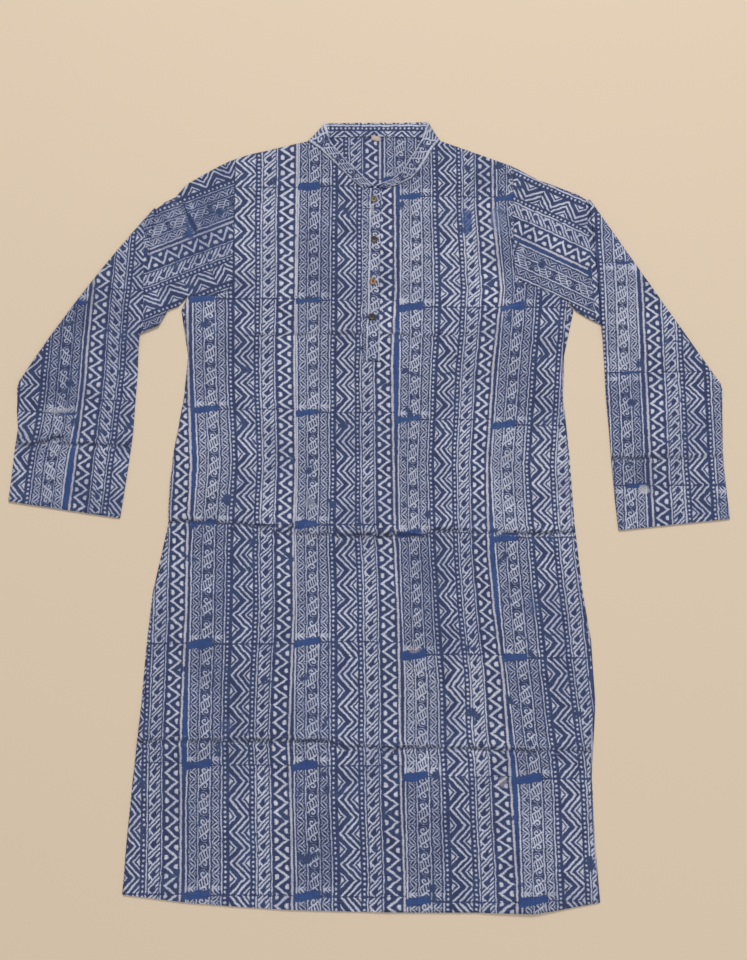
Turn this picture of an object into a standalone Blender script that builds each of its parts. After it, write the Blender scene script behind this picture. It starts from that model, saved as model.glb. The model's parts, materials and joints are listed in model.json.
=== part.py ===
"""Long kurta tunic laid flat on its back, one solid for each piece it is sewn from.

The tunic lies in the XY plane with its collar towards +Y and its face towards +Z, and rests on z = 0.
The origin is at the middle of the bounding box, on the surface the tunic lies on.
Tables are in millimetres; everything else is in metres.
"""

import math

import bmesh
import bpy
from mathutils import Vector

MM = 0.001
WALL = 1.0 * MM
GAP = 0.3 * MM
TUBE = 2 * WALL + GAP

# Body: where the two side edges run, from the armpits down to the hem.
SIDES = (
    # y, left, right
    (290, -286, 312),
    (262, -280, 297),
    (216, -273, 294),
    (150, -278, 291),
    (62, -292, 298),
    (2, -298, 300),
    (-41, -296, 303),
    (-86, -302, 304),
    (-141, -316, 312),
    (-209, -322, 322),
    (-268, -323, 325),
    (-309, -329, 326),
    (-346, -332, 319),
    (-415, -337, 317),
    (-475, -341, 318),
    (-583, -346, 324),
)
HEM = (
    # x, y
    (-346, -563),
    (-252, -574),
    (-173, -580),
    (-96, -584),
    (44, -587),
    (185, -587),
    (215, -591),
    (251, -587),
    (277, -582),
    (324, -574),
)
HEM_LEVEL = -583 * MM
HEM_REACH = 180 * MM
BACK_PEEK_LEFT = 1.2 * MM
BACK_PEEK_RIGHT = 2.2 * MM

# Armholes: a straight seam down from the shoulder that turns out along a short ledge to the armpit.
LEFT_SEAM_X = -209
RIGHT_SEAM_X = 224
LEFT_LEDGE = (
    # x, y
    (-277, 309),
    (-238, 310),
    (-216, 317),
    (LEFT_SEAM_X, 334),
)
RIGHT_LEDGE = (
    # x, y
    (RIGHT_SEAM_X, 342),
    (239, 328),
    (264, 322),
    (300, 304),
)
ARMPIT_ROW = 287
TURN_ROW = 322
WING = len(LEFT_LEDGE) - 1

# Shoulders and neck. The band collar is sewn along seam and its free edge lies along edge.
LEFT_SHOULDER = (
    # x, y
    (LEFT_SEAM_X, 530),
    (-186, 538),
    (-140, 549),
    (-95, 560),
)
RIGHT_SHOULDER = (
    # x, y
    (110, 561),
    (145, 548),
    (185, 533),
    (RIGHT_SEAM_X, 518),
)
COLLAR_LEFT = (
    # seam_x, seam_y, edge_x, edge_y, rise
    (-95, 560, -69, 590, 0.0),
    (-76, 547, -60, 558, 1.5),
    (-58, 530, -46, 540, 3.0),
    (-42, 514, -33, 525, 3.0),
    (-27, 498, -15, 508, 2.0),
    (-9, 483, 8, 487, 0.5),
)
COLLAR_RIGHT = (
    # seam_x, seam_y, edge_x, edge_y, rise
    (22, 483, 11, 487, 0.5),
    (45, 489, 36, 497, 2.0),
    (66, 500, 50, 508, 3.0),
    (79, 515, 60, 524, 3.0),
    (90, 533, 72, 543, 3.0),
    (99, 549, 83, 563, 1.5),
    (110, 561, 93, 592, 0.0),
)
COLLAR_BACK = (
    # seam_x, seam_y, edge_x, edge_y, rise
    (-80, 566, -66, 590, 0.0),
    (-30, 568, -25, 591, 0.0),
    (12, 569, 12, 591, 0.0),
    (55, 568, 50, 591, 0.0),
    (96, 566, 90, 592, 0.0),
)
BACK_CORNERS = (
    # x, y: ends of the back neckline, a little low so that the collar's folds pass over them
    (-95, 557),
    (110, 558),
)
COLLAR_WALL = 1.4 * MM
COLLAR_FRONT_BASE = 2.1 * MM

# Placket: a straight cut-out in the front panel, the button strip in it and the wider top strip over it.
PLACKET_LEFT = -9
PLACKET_RIGHT = 22
PLACKET_LAP = 2.5
PLACKET_FOOT = 207
SLOT_FOOT = 215
PLACKET_TOP = 483
SLOT = (PLACKET_LEFT + PLACKET_LAP, PLACKET_RIGHT - PLACKET_LAP)
BUTTONS = (
    # x, y
    (7.5, 464),
    (8, 399),
    (6, 332),
    (5, 276),
)
BUTTON_RADIUS = 5.0 * MM
BUTTON_SIDES = 16
BUTTON_PROFILE = (
    # radius as a share of BUTTON_RADIUS, height in mm
    (0.78, 0.0),
    (1.0, 0.7),
    (1.0, 1.4),
    (0.84, 2.0),
    (0.66, 1.3),
)

LABEL_CENTRE = (8, 567)
LABEL_SIZE = (9, 8)
LABEL_WALL = 1.0 * MM

# Where the columns and rows of the body panels' faces run.
LEFT_COLUMNS = (LEFT_SEAM_X, -186, -155, -125, -95, -76, -58, -42, -27, PLACKET_LEFT)
RIGHT_COLUMNS = (PLACKET_RIGHT, 45, 66, 79, 90, 99, 110, 145, 185, RIGHT_SEAM_X)
FRONT_ROWS = (
    -583, -550, -515, -475, -435, -400, -380, -358, -336, -305, -268, -228, -183, -140, -100, -74,
    -54, -36, -14, 20, 65, 108, 150, 185, SLOT_FOOT, 231, 247, 266, ARMPIT_ROW,
)
FRONT_TOP_ROWS = 6
BACK_ROWS = (-583, -500, -400, -300, -209, -141, -41, 62, 150, 216, ARMPIT_ROW)
BACK_TOP_ROWS = 3

# Sleeves: straight tubes. From the armhole each runs out to a slanting fold and comes back on top.
LEFT_SLEEVE_UPPER = (
    # top_x, top_y, under_x, under_y, bow
    (-209, 530, -209, 334, 0),
    (-218, 527, -216, 317, 0),
    (-233, 519, -238, 310, 0),
    (-250, 509, -277, 309, 0),
    (-262, 502, -291, 293, 0),
    (-272, 496, -307, 287, 0),
    (-284, 488, -320, 263, 0),
    (-300, 468, -349, 249, 0),
    (-316, 460, -435, 213, 3),
    (-332, 450, -529, 174, 7),
)
LEFT_SLEEVE_LOWER = (
    # inner_x, inner_y, outer_x, outer_y, base, bow
    (-336, 405, -530, 166, 2.9, 4),
    (-341, 345, -530, 164.5, 2.8, 2),
    (-346, 290, -530, 163, 2.8, 0),
    (-349, 242, -530, 161, 2.8, 0),
    (-350, 226, -530, 146, 0, 0),
    (-350, 190, -530, 130, 0, 0),
    (-352, 145, -527, 104, 0, 0),
    (-354, 96, -530, 76, 0, 0),
    (-359, 50, -532, 46, 0, 0),
    (-364, 8, -534, 19, 0, 0),
    (-369, -31, -536, -6, 0, 0),
)
RIGHT_SLEEVE_UPPER = (
    # top_x, top_y, under_x, under_y, bow
    (224, 518, 224, 342, 0),
    (230, 515, 239, 328, 0),
    (240, 509, 264, 322, 0),
    (254, 501, 300, 304, 0),
    (263, 496, 318, 284, 0),
    (282, 489, 336, 273, 0),
    (302, 481, 354, 264, 0),
    (322, 473, 443, 217, 0),
    (342, 464, 532, 170, 0),
)
RIGHT_SLEEVE_LOWER = (
    # inner_x, inner_y, outer_x, outer_y, base, bow
    (345, 420, 533, 162, 2.9, 0),
    (350, 350, 533, 160.5, 2.8, 0),
    (353, 300, 533, 159, 2.8, 0),
    (355, 256, 533, 157, 2.8, 0),
    (356, 240, 533, 142, 0, 0),
    (357, 200, 532, 126, 0, 0),
    (358, 150, 531, 98, 0, 0),
    (361, 100, 530, 70, 0, 0),
    (363, 50, 531, 38, 0, 0),
    (366, 0, 533, 4, 0, 0),
    (370, -49, 536, -32, 0, 0),
)
SLEEVE_SAMPLES = 8
FOLD_CLEARANCE = 1.2 * MM
FOLD_STEPS = 4
EDGE_STEPS = 4

# Largest folds of the cloth, each a soft ridge along a line.
RIDGES = (
    # x0, y0, x1, y1, height, width
    (-235, 247, 255, 247, 2.0, 17),
    (-300, -40, 305, -58, 3.0, 17),
    (-335, -352, 318, -364, 2.0, 20),
    (206, -360, 214, -440, 3.5, 20),
    (212, -530, 216, -592, 3.0, 26),
    (-318, 288, -316, 268, 4.0, 11),
    (-262, 250, -110, 215, 1.6, 20),
    (285, 250, 120, 225, 1.6, 20),
)
RIDGE_END = 30 * MM

CLOTH_BLUE = (0.060, 0.105, 0.330, 1.0)
CLOTH_INSIDE = (0.105, 0.150, 0.360, 1.0)
BUTTON_BROWN = (0.085, 0.045, 0.022, 1.0)
LABEL_PINK = (0.62, 0.42, 0.36, 1.0)


def clear_scene():
    for item in list(bpy.data.objects):
        bpy.data.objects.remove(item, do_unlink=True)


def material(name, color, roughness):
    """A plain Principled material."""
    made = bpy.data.materials.new(name)
    made.use_nodes = True
    shader = made.node_tree.nodes["Principled BSDF"]
    shader.inputs["Base Color"].default_value = color
    shader.inputs["Roughness"].default_value = roughness
    shader.inputs["Metallic"].default_value = 0.0
    return made


def finish(name, bm, color, roughness):
    """Turn the bmesh into an object with its own material and outward faces."""
    bmesh.ops.recalc_face_normals(bm, faces=bm.faces)
    if bm.calc_volume(signed=True) < 0:
        bmesh.ops.reverse_faces(bm, faces=bm.faces)
    mesh = bpy.data.meshes.new(name)
    bm.to_mesh(mesh)
    bm.free()
    mesh.shade_smooth()
    mesh.set_sharp_from_angle(angle=math.radians(40))
    mesh.materials.append(material(name, color, roughness))
    made = bpy.data.objects.new(name, mesh)
    bpy.context.scene.collection.objects.link(made)
    return made


def read(table, key, column, at):
    """Value of a column of a millimetre table, read straight between rows along the key column."""
    rows = sorted(table, key=lambda row: row[key])
    at = min(max(at / MM, rows[0][key]), rows[-1][key])
    for low, high in zip(rows, rows[1:]):
        if at <= high[key]:
            share = (at - low[key]) / (high[key] - low[key])
            return (low[column] + share * (high[column] - low[column])) * MM
    return rows[-1][column] * MM


def ridge(point_x, point_y, row):
    """Height that one ridge of RIDGES adds at a point."""
    start = Vector((row[0], row[1])) * MM
    end = Vector((row[2], row[3])) * MM
    along = (end - start).normalized()
    offset = Vector((point_x, point_y)) - start
    run = offset.dot(along)
    past = max(-run, run - (end - start).length, 0.0)
    across = abs(offset.cross(along))
    fade = math.exp(-((past / RIDGE_END) ** 2))
    return row[4] * MM * fade * math.exp(-((across / (row[5] * MM)) ** 2))


def lift(x, y):
    """How far the upper layer of cloth stands off the layer below it."""
    return sum(ridge(x, y, row) for row in RIDGES)


def hem_shift(x, y):
    """The rows follow the curved hem, less and less going up."""
    share = max(0.0, 1.0 - (y - HEM_LEVEL) / HEM_REACH)
    return share * (read(HEM, 0, 1, x) - HEM_LEVEL)


def body_line(level, peek_left, peek_right):
    """One row of a body panel below the armholes, spread so that its ends meet the side edges."""
    y = level * MM
    halves = (
        (LEFT_COLUMNS, PLACKET_LEFT, read(SIDES, 0, 1, y) - peek_left, 1),
        (RIGHT_COLUMNS[::-1], PLACKET_RIGHT, read(SIDES, 0, 2, y) + peek_right, 2),
    )
    placed = []
    for columns, pivot, side, table_column in halves:
        armpit = read(SIDES, 0, table_column, ARMPIT_ROW * MM)
        pivot *= MM
        seam = columns[0] * MM
        wing = [armpit + i / WING * (seam - armpit) for i in range(WING)]
        spread = (side - pivot) / (armpit - pivot)
        placed.append([pivot + (x - pivot) * spread for x in wing + [x * MM for x in columns]])
    line = placed[0] + [x * MM for x in SLOT] + placed[1][::-1]
    return [(x, y + hem_shift(x, y)) for x in line]


def body_grid(rows, top_rows, top_edge, peek_left=0.0, peek_right=0.0):
    """Plan points of a body panel, row by row from the hem to the shoulders."""
    grid = [body_line(level, peek_left, peek_right) for level in rows]
    between = LEFT_COLUMNS[1:] + SLOT + RIGHT_COLUMNS[:-1]
    turn_row = LEFT_LEDGE + tuple((x, TURN_ROW) for x in between) + RIGHT_LEDGE
    turn_row = [(x * MM, y * MM) for x, y in turn_row]
    grid.append(turn_row)
    for step in range(1, top_rows + 1):
        share = step / top_rows
        line = [(x, y + share * (top_edge(x) - y)) for x, y in turn_row[WING:-WING]]
        grid.append([None] * WING + line + [None] * WING)
    return grid


def front_top(x):
    """Top edge of the front panel: shoulders, and the V the collar is sewn to."""
    line = LEFT_SHOULDER + COLLAR_LEFT[1:] + COLLAR_RIGHT[:-1] + RIGHT_SHOULDER
    return read(line, 0, 1, x)


def back_top(x):
    """Top edge of the back panel: shoulders, and the shallow back neckline."""
    line = LEFT_SHOULDER[:-1] + BACK_CORNERS + COLLAR_BACK + RIGHT_SHOULDER[1:]
    return read(line, 0, 1, x)


def sheet(bm, grid, cells, height, wall):
    """A closed wall over the wanted cells of a plan grid. height gives its lower face."""
    placed = {}
    faces = []
    for row, column in cells:
        corners = ((row, column), (row, column + 1), (row + 1, column + 1), (row + 1, column))
        for at in corners:
            if at not in placed:
                x, y = grid[at[0]][at[1]]
                placed[at] = bm.verts.new((x, y, height(x, y)))
        faces.append(bm.faces.new([placed[at] for at in corners]))
    grown = bmesh.ops.extrude_face_region(bm, geom=faces, use_keep_orig=True)["geom"]
    raised = [item for item in grown if isinstance(item, bmesh.types.BMVert)]
    bmesh.ops.translate(bm, verts=raised, vec=(0, 0, wall))


def body_cells(grid, row_count, skip_slot):
    """Cells of a body panel, without the armholes and, if asked, without the placket's cut-out."""
    width = len(grid[0]) - 1
    slot_column = WING + len(LEFT_COLUMNS)
    cells = []
    for row in range(len(grid) - 1):
        for column in range(width):
            in_armhole = row >= row_count and not WING <= column < width - WING
            in_slot = skip_slot and column == slot_column and row >= FRONT_ROWS.index(SLOT_FOOT)
            if not in_armhole and not in_slot:
                cells.append((row, column))
    return cells


def build_back_panel():
    grid = body_grid(BACK_ROWS, BACK_TOP_ROWS, back_top, BACK_PEEK_LEFT, BACK_PEEK_RIGHT)
    bm = bmesh.new()
    sheet(bm, grid, body_cells(grid, len(BACK_ROWS), False), lambda x, y: 0.0, WALL)
    finish("back_panel", bm, CLOTH_INSIDE, 0.9)


def front_base(x, y):
    """Height of the front panel's lower face."""
    return WALL + GAP + lift(x, y)


def build_front_panel(grid):
    bm = bmesh.new()
    sheet(bm, grid, body_cells(grid, len(FRONT_ROWS), True), front_base, WALL)
    finish("front_panel", bm, CLOTH_BLUE, 0.88)


def build_placket_under(grid):
    """The button strip fills the cut-out, on the front panel's own rows."""
    slot_left = WING + len(LEFT_COLUMNS)
    strip = []
    for line in grid[FRONT_ROWS.index(SLOT_FOOT):]:
        (x0, y), (x1, _) = line[slot_left:slot_left + 2]
        strip.append([(x0 + GAP, y), (x1 - GAP, y)])
    strip[0] = [(x, y + GAP) for x, y in strip[0]]
    strip[-1] = [(x, PLACKET_TOP * MM - 2 * GAP) for x, _ in strip[-1]]
    bm = bmesh.new()
    cells = [(row, 0) for row in range(len(strip) - 1)]
    sheet(bm, strip, cells, front_base, WALL)
    finish("placket_under", bm, CLOTH_INSIDE, 0.88)


def build_placket_over(grid):
    """The top strip lies on the front panel's own points, moved out by a wall and a gap."""
    lap_left = WING + len(LEFT_COLUMNS) - 1
    strip = [line[lap_left:lap_left + 4] for line in grid[FRONT_ROWS.index(SLOT_FOOT):]]
    strip.insert(0, [(x, PLACKET_FOOT * MM) for x, _ in strip[0]])
    strip[-1] = [(x, PLACKET_TOP * MM - 2 * GAP) for x, _ in strip[-1]]
    bm = bmesh.new()
    cells = [(row, column) for row in range(len(strip) - 1) for column in range(3)]
    sheet(bm, strip, cells, lambda x, y: front_base(x, y) + WALL + GAP, WALL)
    finish("placket_over", bm, CLOTH_BLUE, 0.88)


def loft(bm, rings):
    """Quads between neighbouring closed rings. Returns the rings as vertices."""
    placed = [[bm.verts.new(point) for point in ring] for ring in rings]
    count = len(placed[0])
    for ring, after in zip(placed, placed[1:]):
        for i in range(count):
            j = (i + 1) % count
            bm.faces.new((ring[i], ring[j], after[j], after[i]))
    return placed


def turn(middle, outward, radius, low, high, steps):
    """A half turn of a layer about the fold it makes.

    middle lists the plan points of the fold's outer edge. Each row that comes back is a list of
    (point, normal), the normals pointing to the inside of the turn.
    """
    rows = []
    half = (high - low) / 2
    for step in range(1, steps):
        angle = math.pi * step / steps
        row = []
        for point in middle:
            centre = Vector((point[0], point[1], low + half)) - outward * radius
            spoke = outward * math.sin(angle) - Vector((0, 0, math.cos(angle)))
            row.append((centre + spoke * half, -spoke))
        rows.append(row)
    return rows


def line_points(start, end, count, bow, outward):
    """Points along a section of a sleeve, bowed towards outward by bow millimetres at its middle."""
    points = []
    for i in range(count):
        share = i / (count - 1)
        point = start.lerp(end, share) + outward * (bow * MM * 4 * share * (1 - share))
        points.append(point)
    return points


def ring_of(points, normals, halves, inset):
    """Closed ring round a flattened tube whose middle line is given, drawn in by inset."""
    ends = []
    for end, beside in ((0, 1), (-1, -2)):
        away = points[end] - points[beside]
        away.z = 0.0
        away.normalize()
        ends.append((points[end] - away * halves[end], away, normals[end], halves[end] - inset))
    middles = [ends[0][0]] + points[1:-1] + [ends[1][0]]
    face = [m + n * (h - inset) for m, n, h in zip(middles, normals, halves)]
    under = [m - n * (h - inset) for m, n, h in zip(middles, normals, halves)]
    rounds = []
    for centre, away, normal, radius in ends:
        angles = [math.pi * i / EDGE_STEPS for i in range(1, EDGE_STEPS)]
        rounds.append([centre + (normal * math.cos(a) + away * math.sin(a)) * radius for a in angles])
    return face + rounds[1] + under[::-1] + rounds[0][::-1]


def build_sleeve(name, side, upper, lower):
    """A tube of cloth from the armhole out to the fold, round it and back to the cuff."""
    up = Vector((0, 0, 1))
    fold_top = Vector((upper[-1][0], upper[-1][1], 0)) * MM
    fold_under = Vector((upper[-1][2], upper[-1][3], 0)) * MM
    outward = (fold_under - fold_top).normalized().cross(up) * -side
    seam_shift = Vector((side * GAP, GAP, 0))
    radius = (TUBE + FOLD_CLEARANCE) / 2
    clear = radius + TUBE / 2
    rows = []
    for top_x, top_y, under_x, under_y, bow in upper:
        start = Vector((top_x, top_y, 0)) * MM
        end = Vector((under_x, under_y, 0)) * MM
        at_fold = (top_x, top_y) == upper[-1][:2]
        shift = -outward * clear if at_fold else seam_shift
        points = line_points(start + shift, end + shift, SLEEVE_SAMPLES, bow, outward)
        halves = [(TUBE + (0.0 if at_fold else lift(p.x, p.y))) / 2 for p in points]
        middles = [p + up * h for p, h in zip(points, halves)]
        rows.append((middles, [up] * SLEEVE_SAMPLES, halves))
    edge = line_points(fold_top, fold_under, SLEEVE_SAMPLES, upper[-1][4], outward)
    low = TUBE / 2
    for row in turn(edge, outward, clear, low, low + 2 * radius, FOLD_STEPS * 2):
        points, normals = zip(*row)
        rows.append((list(points), list(normals), [TUBE / 2] * SLEEVE_SAMPLES))
    for inner_x, inner_y, outer_x, outer_y, base, bow in lower:
        start = Vector((inner_x, inner_y, 0)) * MM
        end = Vector((outer_x, outer_y, 0)) * MM
        points = line_points(start, end, SLEEVE_SAMPLES, bow, outward)
        halves = [TUBE / 2] * SLEEVE_SAMPLES
        resting = [base * MM + (lift(p.x, p.y) if base else 0.0) for p in points]
        middles = [p + up * (TUBE / 2 + z) for p, z in zip(points, resting)]
        rows.append((middles, [-up] * SLEEVE_SAMPLES, halves))
    bm = bmesh.new()
    outer = loft(bm, [ring_of(*row, 0.0) for row in rows])
    inner = loft(bm, [ring_of(*row, WALL) for row in rows])
    for end in (0, -1):
        count = len(outer[end])
        for i in range(count):
            j = (i + 1) % count
            bm.faces.new((outer[end][i], outer[end][j], inner[end][j], inner[end][i]))
    finish(name, bm, CLOTH_BLUE, 0.88)


def collar_section(row, base, seam_gap):
    """Middle points of the band across one station: seam, middle and free edge."""
    seam = Vector((row[0], row[1], 0)) * MM
    edge = Vector((row[2], row[3], 0)) * MM
    seam += (edge - seam).normalized() * seam_gap
    level = base + COLLAR_WALL / 2
    points = []
    for share in (0.0, 0.5, 1.0):
        point = seam.lerp(edge, share)
        point.z = level + row[4] * MM * share ** 2
        points.append(point)
    return points


def build_collar():
    """One band from the left end of the V round the back of the neck to the right end."""
    up = Vector((0, 0, 1))
    low = COLLAR_WALL / 2
    high = COLLAR_FRONT_BASE + COLLAR_WALL / 2
    half = COLLAR_WALL / 2
    seam_gap = 2 * GAP
    front_left = [collar_section(row, COLLAR_FRONT_BASE, seam_gap) for row in COLLAR_LEFT[:0:-1]]
    back = [collar_section(row, 0.0, seam_gap) for row in COLLAR_BACK]
    front_right = [collar_section(row, COLLAR_FRONT_BASE, seam_gap) for row in COLLAR_RIGHT[-2::-1]]
    bends = []
    for corner, side in ((COLLAR_LEFT[0], -1), (COLLAR_RIGHT[-1], 1)):
        plan = collar_section(corner, 0.0, seam_gap)
        outward = (plan[-1] - plan[0]).normalized().cross(up) * side
        bend = turn(plan, outward, (high - low) / 2 + half, low, high, FOLD_STEPS * 2)
        bends.append([[(point, -normal) for point, normal in row] for row in bend])
    sections = [[(point, up) for point in points] for points in front_left]
    sections += bends[0][::-1]
    sections += [[(point, -up) for point in points] for points in back]
    sections += bends[1]
    sections += [[(point, up) for point in points] for points in front_right]
    rings = []
    for section in sections:
        face = [point + normal * half for point, normal in section]
        under = [point - normal * half for point, normal in section]
        rings.append(face + under[::-1])
    bm = bmesh.new()
    placed = loft(bm, rings)
    bm.faces.new(placed[0])
    bm.faces.new(placed[-1])
    finish("collar", bm, CLOTH_BLUE, 0.86)


def build_buttons():
    """Turned buttons with a raised rim, all sharing one mesh."""
    bm = bmesh.new()
    rings = []
    for share, height in BUTTON_PROFILE:
        ring = []
        for i in range(BUTTON_SIDES):
            angle = 2 * math.pi * i / BUTTON_SIDES
            reach = share * BUTTON_RADIUS
            ring.append(Vector((reach * math.cos(angle), reach * math.sin(angle), height * MM)))
        rings.append(ring)
    placed = loft(bm, rings)
    bm.faces.new(placed[0])
    bm.faces.new(placed[-1])
    first = finish("button_1", bm, BUTTON_BROWN, 0.45)
    for number, (x, y) in enumerate(BUTTONS, 1):
        button = first
        if number > 1:
            button = bpy.data.objects.new(f"button_{number}", first.data)
            bpy.context.scene.collection.objects.link(button)
        button.location = (x * MM, y * MM, front_base(x * MM, y * MM) + 2 * WALL + 2 * GAP)


def build_label():
    bm = bmesh.new()
    bmesh.ops.create_cube(bm, size=1.0)
    bmesh.ops.scale(bm, vec=(LABEL_SIZE[0] * MM, LABEL_SIZE[1] * MM, LABEL_WALL), verts=bm.verts)
    label = finish("neck_label", bm, LABEL_PINK, 0.8)
    level = COLLAR_WALL + GAP + LABEL_WALL / 2
    label.location = (LABEL_CENTRE[0] * MM, LABEL_CENTRE[1] * MM, level)


def main():
    clear_scene()
    build_back_panel()
    grid = body_grid(FRONT_ROWS, FRONT_TOP_ROWS, front_top)
    build_front_panel(grid)
    build_placket_under(grid)
    build_placket_over(grid)
    build_sleeve("sleeve_left", -1, LEFT_SLEEVE_UPPER, LEFT_SLEEVE_LOWER)
    build_sleeve("sleeve_right", 1, RIGHT_SLEEVE_UPPER, RIGHT_SLEEVE_LOWER)
    build_collar()
    build_buttons()
    build_label()


main()
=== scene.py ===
# Looks of the long kurta tunic: indigo block-printed cotton laid flat on its back.
# Sizes are in metres where a note doesn't say millimetres. mm turns millimetres into metres.
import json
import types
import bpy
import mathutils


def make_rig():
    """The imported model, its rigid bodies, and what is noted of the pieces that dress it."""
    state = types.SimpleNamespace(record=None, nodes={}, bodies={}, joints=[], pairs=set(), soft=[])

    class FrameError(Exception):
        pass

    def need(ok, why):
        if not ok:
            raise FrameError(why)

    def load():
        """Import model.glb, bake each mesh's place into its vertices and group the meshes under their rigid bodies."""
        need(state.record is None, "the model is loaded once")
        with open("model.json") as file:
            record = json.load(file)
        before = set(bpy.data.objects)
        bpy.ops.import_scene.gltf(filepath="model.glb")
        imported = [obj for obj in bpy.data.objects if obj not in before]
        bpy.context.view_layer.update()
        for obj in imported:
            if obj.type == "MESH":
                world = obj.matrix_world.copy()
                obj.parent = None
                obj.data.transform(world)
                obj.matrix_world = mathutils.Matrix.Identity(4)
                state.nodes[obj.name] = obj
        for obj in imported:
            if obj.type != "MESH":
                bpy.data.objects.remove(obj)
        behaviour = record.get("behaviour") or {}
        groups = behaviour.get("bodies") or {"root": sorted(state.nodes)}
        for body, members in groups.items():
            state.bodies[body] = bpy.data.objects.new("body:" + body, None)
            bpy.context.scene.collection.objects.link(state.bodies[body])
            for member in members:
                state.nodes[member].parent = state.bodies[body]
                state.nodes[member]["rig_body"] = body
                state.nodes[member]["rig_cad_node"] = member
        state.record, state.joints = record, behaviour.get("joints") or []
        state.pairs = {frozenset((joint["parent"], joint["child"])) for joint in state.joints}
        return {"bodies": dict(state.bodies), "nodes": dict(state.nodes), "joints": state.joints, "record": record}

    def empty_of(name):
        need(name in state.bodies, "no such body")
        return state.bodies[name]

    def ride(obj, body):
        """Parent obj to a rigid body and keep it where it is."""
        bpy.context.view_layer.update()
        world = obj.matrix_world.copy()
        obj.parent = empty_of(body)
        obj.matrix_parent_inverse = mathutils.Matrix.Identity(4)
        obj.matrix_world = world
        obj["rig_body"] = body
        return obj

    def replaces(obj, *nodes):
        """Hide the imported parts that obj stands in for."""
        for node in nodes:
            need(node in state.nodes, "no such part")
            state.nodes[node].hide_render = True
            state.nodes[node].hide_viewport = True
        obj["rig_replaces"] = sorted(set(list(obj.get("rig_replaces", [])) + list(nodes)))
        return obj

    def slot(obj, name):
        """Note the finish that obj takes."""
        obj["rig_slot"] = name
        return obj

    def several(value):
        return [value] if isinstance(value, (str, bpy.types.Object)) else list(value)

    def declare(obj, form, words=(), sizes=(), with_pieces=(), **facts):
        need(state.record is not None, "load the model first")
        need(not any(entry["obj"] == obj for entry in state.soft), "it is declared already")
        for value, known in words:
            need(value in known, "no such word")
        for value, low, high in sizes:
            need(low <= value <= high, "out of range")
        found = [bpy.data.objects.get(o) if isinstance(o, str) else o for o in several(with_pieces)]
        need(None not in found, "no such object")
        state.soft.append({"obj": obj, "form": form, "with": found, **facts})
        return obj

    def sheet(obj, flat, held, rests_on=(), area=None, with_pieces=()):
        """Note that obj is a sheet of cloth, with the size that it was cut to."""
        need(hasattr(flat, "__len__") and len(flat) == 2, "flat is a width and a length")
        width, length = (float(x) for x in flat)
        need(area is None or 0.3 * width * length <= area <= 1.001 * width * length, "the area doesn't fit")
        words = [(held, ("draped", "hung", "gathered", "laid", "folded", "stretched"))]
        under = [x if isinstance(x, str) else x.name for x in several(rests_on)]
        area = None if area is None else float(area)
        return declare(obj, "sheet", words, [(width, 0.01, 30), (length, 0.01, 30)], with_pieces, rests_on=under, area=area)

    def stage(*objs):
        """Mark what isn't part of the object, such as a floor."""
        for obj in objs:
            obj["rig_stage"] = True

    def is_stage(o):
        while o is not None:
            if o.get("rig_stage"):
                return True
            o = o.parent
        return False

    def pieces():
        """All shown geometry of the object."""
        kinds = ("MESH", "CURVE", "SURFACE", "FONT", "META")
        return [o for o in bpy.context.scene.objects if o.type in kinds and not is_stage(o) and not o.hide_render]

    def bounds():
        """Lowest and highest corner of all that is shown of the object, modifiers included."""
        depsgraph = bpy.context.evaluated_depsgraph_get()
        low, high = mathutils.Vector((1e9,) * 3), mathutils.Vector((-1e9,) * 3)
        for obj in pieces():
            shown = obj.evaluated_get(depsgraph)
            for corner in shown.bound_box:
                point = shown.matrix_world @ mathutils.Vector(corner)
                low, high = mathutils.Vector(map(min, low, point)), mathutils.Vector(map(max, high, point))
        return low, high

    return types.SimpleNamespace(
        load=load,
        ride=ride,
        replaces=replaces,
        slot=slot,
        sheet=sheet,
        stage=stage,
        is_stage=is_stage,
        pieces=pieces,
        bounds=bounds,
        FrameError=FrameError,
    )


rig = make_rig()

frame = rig.load()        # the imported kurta, one CAD node for each sewn piece
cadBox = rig.bounds()

import json
import math

import bmesh
import bpy
from mathutils import Matrix, Vector, noise
from mathutils.bvhtree import BVHTree

mm = 0.001
up = Vector((0, 0, 1))
bpy.ops.object.select_all(action="DESELECT")


def plug(tree, value, socket):
    # a wire is linked, a plain value is typed into the socket
    if isinstance(value, Wire):
        tree.links.new(value.socket, socket)
    else:
        socket.default_value = value


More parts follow.
